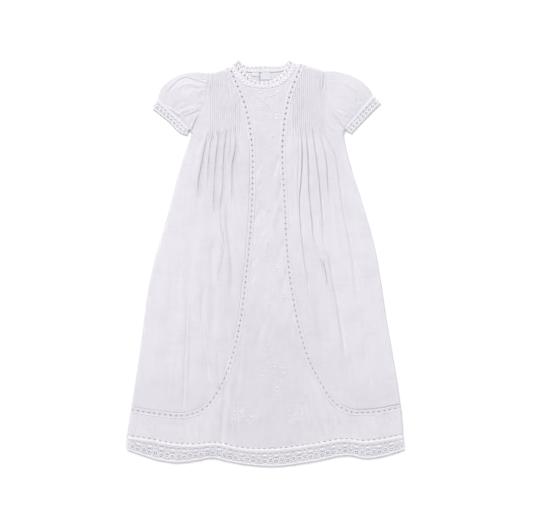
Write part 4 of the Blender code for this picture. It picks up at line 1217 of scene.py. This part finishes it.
def makeBack():
    borders = []
    for half, sign in ((leftHalf, -1), (rightHalf, 1)):
        armhole = np.array(half["armhole"], float)
        shoulder = np.array(half["shoulder"], float)
        corner = armhole[-1] + (armhole[-2] - armhole[-1]) / np.linalg.norm(
            armhole[-2] - armhole[-1]) * backPanel["inset"]
        side = sideways(smoothLine(half["side"]), -sign * backPanel["inset"])
        side = side[(side[:, 1] < backPanel["chestY"]) & (side[:, 1] > heightOn(hemLine, side[:, 0]))]
        start = armhole[0] + (armhole[1] - armhole[0]) * 0.42
        arm = np.concatenate([[start], armhole[1:-1], [corner]])
        top = np.stack([shoulder.mean(axis=0) - [0, 4], shoulder[-1] - [0, 4]])
        borders.append((side, arm, top))
    (leftSide, leftArm, leftTop), (rightSide, rightArm, rightTop) = borders
    neck = smoothLine(collarLines["backSeam"]) - [0, 0.3]
    neck = neck[(neck[:, 0] > leftTop[-1, 0] + 6) & (neck[:, 0] < rightTop[-1, 0] - 6)]
    upper = np.concatenate([leftArm, leftTop, neck, rightTop[::-1], rightArm[::-1]])
    count = round((rightSide[0, 0] - leftSide[0, 0]) / (backPanel["step"] * 0.62))
    lowX = np.linspace(leftSide[0, 0], rightSide[0, 0], count)
    slit = collarLines["slit"]
    k = int(np.argmin(abs(lowX - slit)))
    lowX[k], lowX[k + 1] = slit - 0.15, slit + 0.15
    topX = np.clip(lowX, upper[0, 0], upper[-1, 0])
    topX = np.interp(lowX, [lowX[0], lowX[0] + 12, lowX[-1] - 12, lowX[-1]],
                     [upper[0, 0], lowX[0] + 12, lowX[-1] - 12, upper[-1, 0]])
    top = np.stack([topX, heightOn(upper, topX)], -1)
    low = np.stack([lowX, np.full(count, float(backPanel["chestY"]))], -1)
    low[0], low[-1] = leftSide[0], rightSide[0]
    v = np.linspace(0, 1, 34)[:, None, None]
    yoke = top[None] * (1 - v) + low[None] * v
    u = (lowX - lowX[0]) / (lowX[-1] - lowX[0])
    v = np.linspace(0, 1, 142)
    x = leftSide[-1, 0] + (rightSide[-1, 0] - leftSide[-1, 0]) * u
    skirt = patch(low, np.stack([x, heightOn(hemLine, x) + 0.3], -1), pointsAlong(leftSide, v),
                  pointsAlong(rightSide, v), u, v)
    grid = np.concatenate([yoke, skirt[1:]])
    px, py = grid[..., 0], grid[..., 1]
    height = np.full(px.shape, layers["backTop"])
    # the hemmed edges of the opening lie a little higher than the cloth beside them
    nearSlit = np.exp(-((abs(px - slit) - 3) / 3.0) ** 4) * ease(py, 318 - 160, 318 - 140)
    height += 0.25 * nearSlit
    keep = np.ones((len(grid) - 1, count - 1), bool)
    keep[:, k] = (grid[1:, k, 1] < 318 - backPanel["slitDepth"])
    return clothSheet("back_cloth", np.concatenate([grid, height[..., None]], -1), grid,
                      layers["cloth"], wovenBatiste, keep=keep, toneAndShade=np.full(px.shape, 0.5))


backCloth = makeBack()
print("back made")


def runningLength(grid, axis):
    # distance along the rows or columns of a grid of points, from 0 at its first one
    run = np.cumsum(np.linalg.norm(np.diff(grid, axis=axis), axis=2), axis=axis)
    return np.concatenate([np.zeros_like(np.take(run, [0], axis=axis)), run], axis)


def rolledEdge(ends):
    # 0 at a fold, 1 from one fold's width away from it, round in between
    return np.sqrt(np.clip(1 - (1 - np.clip(ends / layers["fold"], 0, 1)) ** 2, 0, 1))


def flattenedTube(front, back, lift, top=3.3):
    # The rings of a flattened tube: front and back are grids of places on its two leaves, both
    # from the first fold to the second. lift raises the front leaf.
    middle = top / 2

    def bend(leaf):
        marks = runningLength(leaf, 1)
        return rolledEdge(np.minimum(marks, marks[:, -1:] - marks))

    upper = middle + (top - middle) * bend(front) + lift
    lower = middle - middle * bend(back)
    ring = np.concatenate([front, back[:, -2:0:-1], front[:, :1]], 1)
    height = np.concatenate([upper, lower[:, -2:0:-1], upper[:, :1]], 1)
    return np.concatenate([ring, height[..., None]], -1)


def ringMeasures(rows):
    # distance round each ring and down the tube, for the weave
    return np.stack([runningLength(rows, 1), runningLength(rows, 0)], -1)


# Short puffed sleeves, gathered into the armhole and into a beaded cuff with a lace edge.
sleeves = {
    "rows": 72, "frontColumns": 74, "backColumns": 34,
    "puff": 2.5, "gatherPitch": 5.2, "gather": 0.75, "cuffGather": 0.8,
    "leftCreases": [
        ([(205, 84), (198.5, 81.4), (193, 80.2), (186, 77.8), (179.5, 80.6), (172.6, 87),
          (166, 95)], 1.5, -0.9, 5, 14, -1),
        ([(203, 87.4), (196, 85.6), (188, 83.6), (181, 86.4), (176, 91.4)], 1.8, 0.9, 6, 10, 0),
        ([(199, 88.6), (190, 88.4), (183, 90.8)], 1.4, -0.5, 5, 8, 0),
        ([(172.6, 108.4), (179, 104), (188, 99.6)], 1.5, -0.55, 5, 10, 0),
        ([(165, 106), (171, 109.5), (177, 113.5), (182, 116)], 1.7, 1.3, 4, 5, 0),
        ([(182.6, 117.6), (190, 115), (200.6, 110.6)], 1.4, -1.2, 5, 5, 1),
        ([(178, 113.8), (187, 110.4), (200, 106.4)], 1.8, 0.9, 6, 6, 0),
        ([(178.6, 109.6), (187, 106), (195, 104)], 1.3, -0.5, 5, 8, 0),
        ([(205, 90), (200, 91.6), (197.6, 95)], 1.7, 0.9, 3, 4, 0),
        ([(205.4, 96), (200.4, 97.4), (196.8, 100.4)], 1.3, -0.6, 3, 5, 0),
        ([(204, 103), (198, 105.4), (193.6, 109)], 1.3, -0.5, 3, 6, 0),
        ([(197.4, 117), (194.6, 124), (191.4, 132.6)], 1.5, -1.7, 3, 4, -1),
        ([(195, 91), (189, 95), (184, 102)], 3.6, 0.5, 8, 12, 0),
        ([(206.6, 76), (203, 77)], 1.0, -0.7, 1, 3, 0),
        ([(206.8, 79.4), (202.4, 80)], 1.0, -0.7, 1, 3, 0),
    ],
    "rightCreases": [
        ([(327.6, 74), (331.5, 73.6), (336, 74.4)], 0.9, -0.6, 2, 4, 0),
        ([(327.8, 77), (331.5, 76.6), (336, 77)], 0.9, -0.6, 2, 4, 0),
        ([(328, 80), (332, 79.7), (337, 80.4)], 0.9, -0.6, 2, 5, 0),
        ([(337.4, 117.6), (339.4, 122.4), (342, 128.6)], 1.5, -1.6, 3, 4, 1),
        ([(333.4, 112.6), (336.4, 116.6)], 1.6, 1.0, 3, 3, 0),
        ([(341, 82), (350, 86), (358, 93)], 3.4, 0.6, 8, 8, 0),
        ([(337, 98), (345, 101), (352, 106)], 2.6, -0.5, 6, 8, 0),
        ([(336, 108), (342, 111), (348, 114)], 2.0, -0.8, 5, 6, -1),
        ([(356.4, 98.5), (357.2, 103.4)], 1.2, -1.2, 2, 2, 0),
        ([(360.4, 98.8), (361, 103)], 1.1, -1.1, 2, 2, 0),
        ([(350, 108.4), (353.4, 113)], 1.4, -0.8, 3, 3, 0),
        ([(345.4, 115.6), (348, 119.2)], 1.3, -0.8, 2, 2, 0),
    ],
}


def sleeveLines(half, sign):
    armhole = sideways(np.array(half["armhole"], float), sign * 0.5)[::-1]
    topFold = smoothLine(half["sleeveTop"])
    topFold[0] = armhole[0]
    cuff = np.array(half["cuffStart"], float)
    return armhole, topFold, np.stack([armhole[-1], cuff[1]]), cuff


def makeSleeve(name, half, sign, creases):
    armhole, topFold, lowFold, cuff = sleeveLines(half, sign)
    v = np.linspace(0, 1, sleeves["rows"])
    leaves = []
    for count in (sleeves["frontColumns"], sleeves["backColumns"]):
        # closer together near the folds
        u = np.linspace(0, 1, count)
        u = u - 0.09 * np.sin(2 * math.pi * u)
        leaves.append(patch(pointsAlong(armhole, u), pointsAlong(cuff, u), pointsAlong(topFold, v),
                            pointsAlong(lowFold, v), u, v))
    u = np.linspace(0, 1, sleeves["frontColumns"])
    u = (u - 0.09 * np.sin(2 * math.pi * u))[None]
    down = v[:, None]
    swell = np.sin(math.pi * u) ** 0.6 * sleeves["puff"] * np.sin(math.pi * down) ** 0.8
    around = u * 105
    pitch = sleeves["gatherPitch"]
    ripple = np.sin(2 * math.pi * around / pitch + 1.3 * np.sin(around * 0.17 + sign))
    uneven = 0.65 + 0.35 * np.sin(around * 0.23 + 2 * sign)
    seamGather = sleeves["gather"] * ripple * uneven * np.exp(-down / 0.09) * ease(down, 0.0, 0.03)
    cuffGather = sleeves["cuffGather"] * np.sin(2 * math.pi * around / 4.6 + np.sin(around * 0.21))
    cuffGather = cuffGather * uneven * np.exp(-(1 - down) / 0.12) * ease(1 - down, 0.0, 0.03)
    lift = swell + (seamGather + cuffGather) * np.sin(math.pi * u) ** 0.5
    lift += creased(leaves[0], creases) * np.clip(np.sin(math.pi * u) * 4, 0, 1)
    lift += washWrinkles(leaves[0]) * np.sin(math.pi * u)
    lift += 0.25 * np.sin(leaves[0][..., 0] * 0.16 + leaves[0][..., 1] * 0.11) * np.sin(math.pi * u)
    lift -= 0.35 * np.exp(-down / 0.02)     # drawn in at the armhole seam
    lift = np.maximum(lift, -0.9 * np.clip(np.sin(math.pi * u) * 5, 0, 1))
    rows = flattenedTube(leaves[0], leaves[1], lift)
    return clothSheet("sleeve_" + name + "_cloth", rows, ringMeasures(rows), layers["cloth"],
                      wovenBatiste, closed=True, toneAndShade=np.full(rows.shape[:2], 0.55))


def tubeLace(name, startFront, startBack, endFront, endBack, cell, pattern, wave, top=3.3,
             opening=None):
    # A band of lace round a flattened tube, between a starting and an ending line on each leaf.
    # opening is where along the back it is left open.
    lengths = [distances(startFront)[-1], distances(startBack)[-1]]
    total = sum(lengths)
    width = float(np.linalg.norm(pointsAlong(startFront, [0.5]) - pointsAlong(endFront, [0.5])))
    begin = 0.0 if opening is None else lengths[0] + lengths[1] * (1 - opening)

    def place(s, t):
        share = (t / width)[..., None]
        where = (s + begin) % total if opening is not None else np.minimum(s, total)
        onFrontLeaf = where <= lengths[0]
        u = np.where(onFrontLeaf, where / lengths[0], (total - where) / lengths[1])
        front = pointsAlong(startFront, u) * (1 - share) + pointsAlong(endFront, u) * share
        back = pointsAlong(startBack, u) * (1 - share) + pointsAlong(endBack, u) * share
        flat = np.where(onFrontLeaf[..., None], front, back)
        ends = np.minimum(u, 1 - u) * np.where(onFrontLeaf, lengths[0], lengths[1])
        bend = rolledEdge(ends)
        up = top / 2 + top / 2 * bend + wave(where, t / width) * np.clip(ends / 4, 0, 1)
        height = np.where(onFrontLeaf, up, top / 2 - (top / 2 - 0.9) * bend)
        if opening is not None:
            # draw the two ends a little apart
            flat = flat.copy()
            flat[..., 0] += 0.15 * (np.exp(-s / 2) * -1 + np.exp(-(total - s) / 2))
        return np.concatenate([flat, height[..., None]], -1)

    return laceStrip(name, place, total, width, cell, pattern(width), closed=opening is None,
                     opened=opening is not None)


# cuff: a narrow band of beading between two cords, over the gathers of the sleeve
cuffTrim = {"cell": 0.5, "pitch": 7.5, "slot": 0.42, "ripple": 0.5}


def cuffPattern(width):
    def pattern(s, t):
        along = repeat(s, cuffTrim["pitch"])
        slot = np.hypot(np.maximum(abs(along) - 0.5, 0), t - width + 1.0) - cuffTrim["slot"]
        roll = np.clip(1 - ((t - width * 0.42) / (width * 0.42)) ** 2, 0, 1)
        return slot, 0.6 * np.sqrt(roll)
    return pattern


def smallEdgingPattern(width):
    # narrow edging: a heading, one row of ringed dots in net and a border of little loops
    def pattern(s, t):
        pitch, middle = 7.5, width * 0.5
        ring = np.hypot(repeat(s, pitch), t - middle)
        net = np.hypot(repeat(s, pitch / 2, pitch / 4), t - width * 0.82) - 0.36
        dot = 1.15 - ring
        circle = 0.75 - abs(ring - 2.9)
        opened = abs(ring - 1.7) - 0.3
        loops = 0.45 * (1 - np.cos(2 * math.pi * s / (pitch / 2)))
        border = 0.9 - abs(width - 0.9 - 0.3 * loops - t)
        leaf = 0.8 - np.hypot(repeat(s, pitch, pitch / 2) / 1.3, (t - middle) / 1.8)
        heading = bar(t, 1.0)
        figures = np.maximum.reduce([dot, circle, border, heading, leaf])
        thread = np.minimum(np.maximum(net, figures), np.maximum(opened, dot))
        thread = np.minimum(thread, width - 0.8 * loops - t)
        return thread, 0.4 * np.sqrt(np.clip(figures, 0, 1))
    return pattern


def makeCuffs(name, half, sign):
    cuff = np.array(half["cuffStart"], float)
    cuffEnd = np.array(half["cuffEnd"], float)
    start = pointsAlong(sideways(cuff, -sign * 1.4), np.linspace(0, 1, 60))
    end = pointsAlong(cuffEnd, np.linspace(0, 1, 60))
    band = tubeLace("cuff_" + name + "_band", start, start, end, end, cuffTrim["cell"],
                    cuffPattern, lambda s, share: 0.45 + 0.2 * np.sin(s * 0.08))
    laceStart = pointsAlong(sideways(cuffEnd, -sign * layers["lap"]), np.linspace(0, 1, 60))
    laceEnd = pointsAlong(smoothLine(half["laceEdge"]), np.linspace(0, 1, 60))

    def wave(s, share):
        flutes = np.sin(s * 2 * math.pi / 7.2 + 0.9 * np.sin(s * 0.21 + sign))
        return cuffTrim["ripple"] * (0.5 + 0.5 * flutes) * share ** 0.8 - 1.3 * share ** 1.2

    lace = tubeLace("sleeve_lace_" + name + "_edging", laceStart, laceStart, laceEnd, laceEnd,
                    cuffTrim["cell"], smallEdgingPattern, wave)
    return band, lace


leftSleeve = makeSleeve("left", leftHalf, -1, sleeves["leftCreases"])
rightSleeve = makeSleeve("right", rightHalf, 1, sleeves["rightCreases"])
bandLeft, edgingLeft = makeCuffs("left", leftHalf, -1)
bandRight, edgingRight = makeCuffs("right", rightHalf, 1)
for band in (bandLeft, bandRight):
    band.data.materials[0] = tapeCotton
print("sleeves and cuffs made")

# The collar: a band of insertion lace sewn round the neck with a gathered edging above it.
collarTrim = {"cell": 0.5, "pitch": 6.2, "ripple": 0.7, "rufflePitch": 6.4}


def collarBandPattern(width):
    def pattern(s, t):
        # a running scroll of raised cord with openings in its turns
        pitch = collarTrim["pitch"]
        scroll = (0.5 - 0.26 * np.cos(2 * math.pi * s / pitch)) * width
        cord = 0.75 - abs(t - scroll)
        thread = np.hypot(repeat(s, pitch, pitch / 2), (t - width * 0.32)) - 0.4
        edges = 0.55 - np.minimum(t, width - t)
        relief = 0.45 * np.sqrt(np.clip(np.maximum(cord, edges) / 0.7, 0, 1))
        return np.where(edges > 0, 1.0, thread), relief
    return pattern


def makeCollar():
    lines = {key: smoothLine(collarLines[key]) for key in
             ("frontSeam", "frontFree", "backSeam", "backFree")}
    u = np.linspace(0, 1, 160)
    front = [pointsAlong(lines["frontSeam"], u), pointsAlong(lines["frontFree"], u)]
    back = [pointsAlong(lines["backSeam"], u), pointsAlong(lines["backFree"], u)]
    slitAt = float(np.argmin(abs(back[0][:, 0] - collarLines["slit"]))) / (len(u) - 1)

    def at(pair, share):
        return pair[0] * (1 - share) + pair[1] * share

    band = tubeLace("neck_band_lace", at(front, -0.02), at(back, -0.03), at(front, 0.49),
                    at(back, 0.49), collarTrim["cell"], collarBandPattern,
                    lambda s, share: 0.25 + 0.2 * np.sin(s * 0.3), opening=slitAt)

    def wave(s, share):
        flutes = np.sin(s * 2 * math.pi / collarTrim["rufflePitch"] + 0.8 * np.sin(s * 0.19))
        return collarTrim["ripple"] * (0.5 + 0.5 * flutes) * share ** 0.7 - 0.8 * share

    ruffle = tubeLace("neck_ruffle_lace", at(front, 0.52), at(back, 0.52), at(front, 1.0),
                      at(back, 1.0), collarTrim["cell"], smallEdgingPattern, wave, opening=slitAt)
    return band, ruffle


neckBand, neckRuffle = makeCollar()
print("collar made")

# bare woven labels inside the back of the neck: sewn down at the top, their free edge lifts
labels = {"left": (-21, -9.5, 310.5, 317), "right": (-6, 10, 304.5, 317), "step": 0.5}


def makeLabel(name, left, right, low, high):
    wide, tall = round((right - left) / labels["step"]), round((high - low) / labels["step"])
    x, y = np.meshgrid(np.linspace(left, right, wide + 1), np.linspace(low, high, tall + 1))
    drop = (high - y) / (high - low)
    height = 0.95 + 0.3 * drop ** 1.5 + 0.18 * np.sin(math.pi * (x - left) / (right - left))
    # the folded-in ends make a slightly thicker edge
    height += 0.12 * (np.minimum(x - left, right - x) < 1.1)
    rows = np.stack([x, y, height], -1)
    return clothSheet(name + "_tape", rows, np.stack([x, y], -1), 0.35, tapeCotton)


leftLabel = makeLabel("label_left", *labels["left"])
rightLabel = makeLabel("label_right", *labels["right"])
print("labels made")

# What each piece of cloth was cut to before the gown was laid out, width and length in mm, and
# where the cut isn't a rectangle its area in square mm.
cuts = [
    (leftFront, "side_front_left", "batiste", (215, 570), 76000, "laid", backCloth),
    (rightFront, "side_front_right", "batiste", (215, 570), 76000, "laid", backCloth),
    (centreCloth, "front_centre", "batiste", (462, 615), 88000, "laid", backCloth),
    (backCloth, "back", "batiste", (460, 640), 212000, "laid", None),
    (leftInsertion, "insertion_left", "lace", (10, 790), 7000, "laid", backCloth),
    (rightInsertion, "insertion_right", "lace", (10, 790), 7000, "laid", backCloth),
    (hemBeadingFront, "hem_beading_front", "lace", (470, 10), 3600, "laid", backCloth),
    (hemBeadingBack, "hem_beading_back", "lace", (455, 10), 2400, "laid", None),
    (hemLaceFront, "hem_lace_front", "lace", (560, 25), 12500, "gathered", hemLaceBack),
    (hemLaceBack, "hem_lace_back", "lace", (500, 23), 11000, "gathered", None),
    (leftSleeve, "sleeve_left", "batiste", (230, 110), 13000, "gathered", None),
    (rightSleeve, "sleeve_right", "batiste", (230, 110), 13000, "gathered", None),
    (bandLeft, "cuff_left", "tape", (150, 10), 950, "laid", None),
    (bandRight, "cuff_right", "tape", (150, 10), 900, "laid", None),
    (edgingLeft, "sleeve_lace_left", "lace", (170, 11), 1500, "gathered", None),
    (edgingRight, "sleeve_lace_right", "lace", (170, 11), 1500, "gathered", None),
    (neckBand, "neck_band", "lace", (290, 10), 1800, "laid", backCloth),
    (neckRuffle, "neck_ruffle", "lace", (300, 10), 1500, "gathered", None),
    (leftLabel, "label_left", "tape", (12, 10), 85, "laid", backCloth),
    (rightLabel, "label_right", "tape", (16, 12.5), None, "laid", backCloth),
]
for piece, node, slot, (width, length), area, held, under in cuts:
    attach(piece, "root")
    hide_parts(node)
    extra = {} if area is None else {"area": area * 1e-6}
    if piece is centreCloth:
        extra["with_pieces"] = sprays
for piece in sprays:
    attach(piece, "root")

# The gown lies on a white table under a wide soft light from behind its neck, a little to the
# left, with weak light from the other side and from all round.
studio = {
    "floor": "#ffffff", "floorSize": 14.0,
    "sky": "#f7f8fc", "skyStrength": 0.56,
    "key": ((-1.7, 4.3, 3.9), 3.4, 264), "fill": ((3.2, -2.4, 4.2), 3.2, 50),
    "lensMm": 85.0, "sensorMm": 36.0, "frameMm": photo["width"] * photo["mmPerPixel"],
}


def makeStudio():
    bpy.ops.object.select_all(action="DESELECT")
    bpy.ops.mesh.primitive_plane_add(size=studio["floorSize"], location=(0, 0, -0.0006))
    floor = bpy.context.object
    floor.name = "studioFloor"
    bpy.ops.object.transform_apply(location=True)
    paint, tree, shader = newMaterial("mattWhitePaper")
    # smooth matt paper: no gloss, the faintest tooth
    place = addNode(tree, "ShaderNodeTexCoord").outputs["Object"]
    tooth = addNode(tree, "ShaderNodeTexNoise", {"Scale": 600.0}, {"Vector": place})
    bump = addNode(tree, "ShaderNodeBump", {"Strength": 0.02, "Distance": 0.0002},
                   {"Height": tooth.outputs["Fac"]})
    tree.links.new(bump.outputs["Normal"], shader.inputs["Normal"])
    shader.inputs["Base Color"].default_value = clothColour(studio["floor"])
    shader.inputs["Roughness"].default_value = 0.9
    shader.inputs["Specular IOR Level"].default_value = 0.1
    floor.data.materials.append(paint)

    world = bpy.data.worlds.new("studioSky")
    world.use_nodes = True
    background = world.node_tree.nodes["Background"]
    background.inputs["Color"].default_value = clothColour(studio["sky"])
    background.inputs["Strength"].default_value = studio["skyStrength"]
    bpy.context.scene.world = world
    for name in ("key", "fill"):
        spot, size, watts = studio[name]
        bpy.ops.object.light_add(type="AREA", location=spot)
        lamp = bpy.context.object
        lamp.name = name + "Light"
        lamp.data.shape = "DISK"
        lamp.data.size = size
        lamp.data.energy = watts
        lamp.rotation_euler = (-Vector(spot)).to_track_quat("-Z", "Y").to_euler()

    # straight down on the middle of the photo's frame
    x, y = onPhoto(533 / 2, 528 / 2)
    away = studio["frameMm"] * studio["lensMm"] / studio["sensorMm"] + layers["frontTop"]
    bpy.ops.object.camera_add(location=((x - gownCentre[0]) / 1000, (y - gownCentre[1]) / 1000,
                                        away / 1000), rotation=(0, 0, 0))
    camera = bpy.context.object
    camera.data.lens = studio["lensMm"]
    camera.data.sensor_width = studio["sensorMm"]
    camera.data.clip_end = 60
    bpy.context.scene.camera = camera
    bpy.context.scene.view_settings.view_transform = "Standard"


makeStudio()
print("studio set up")
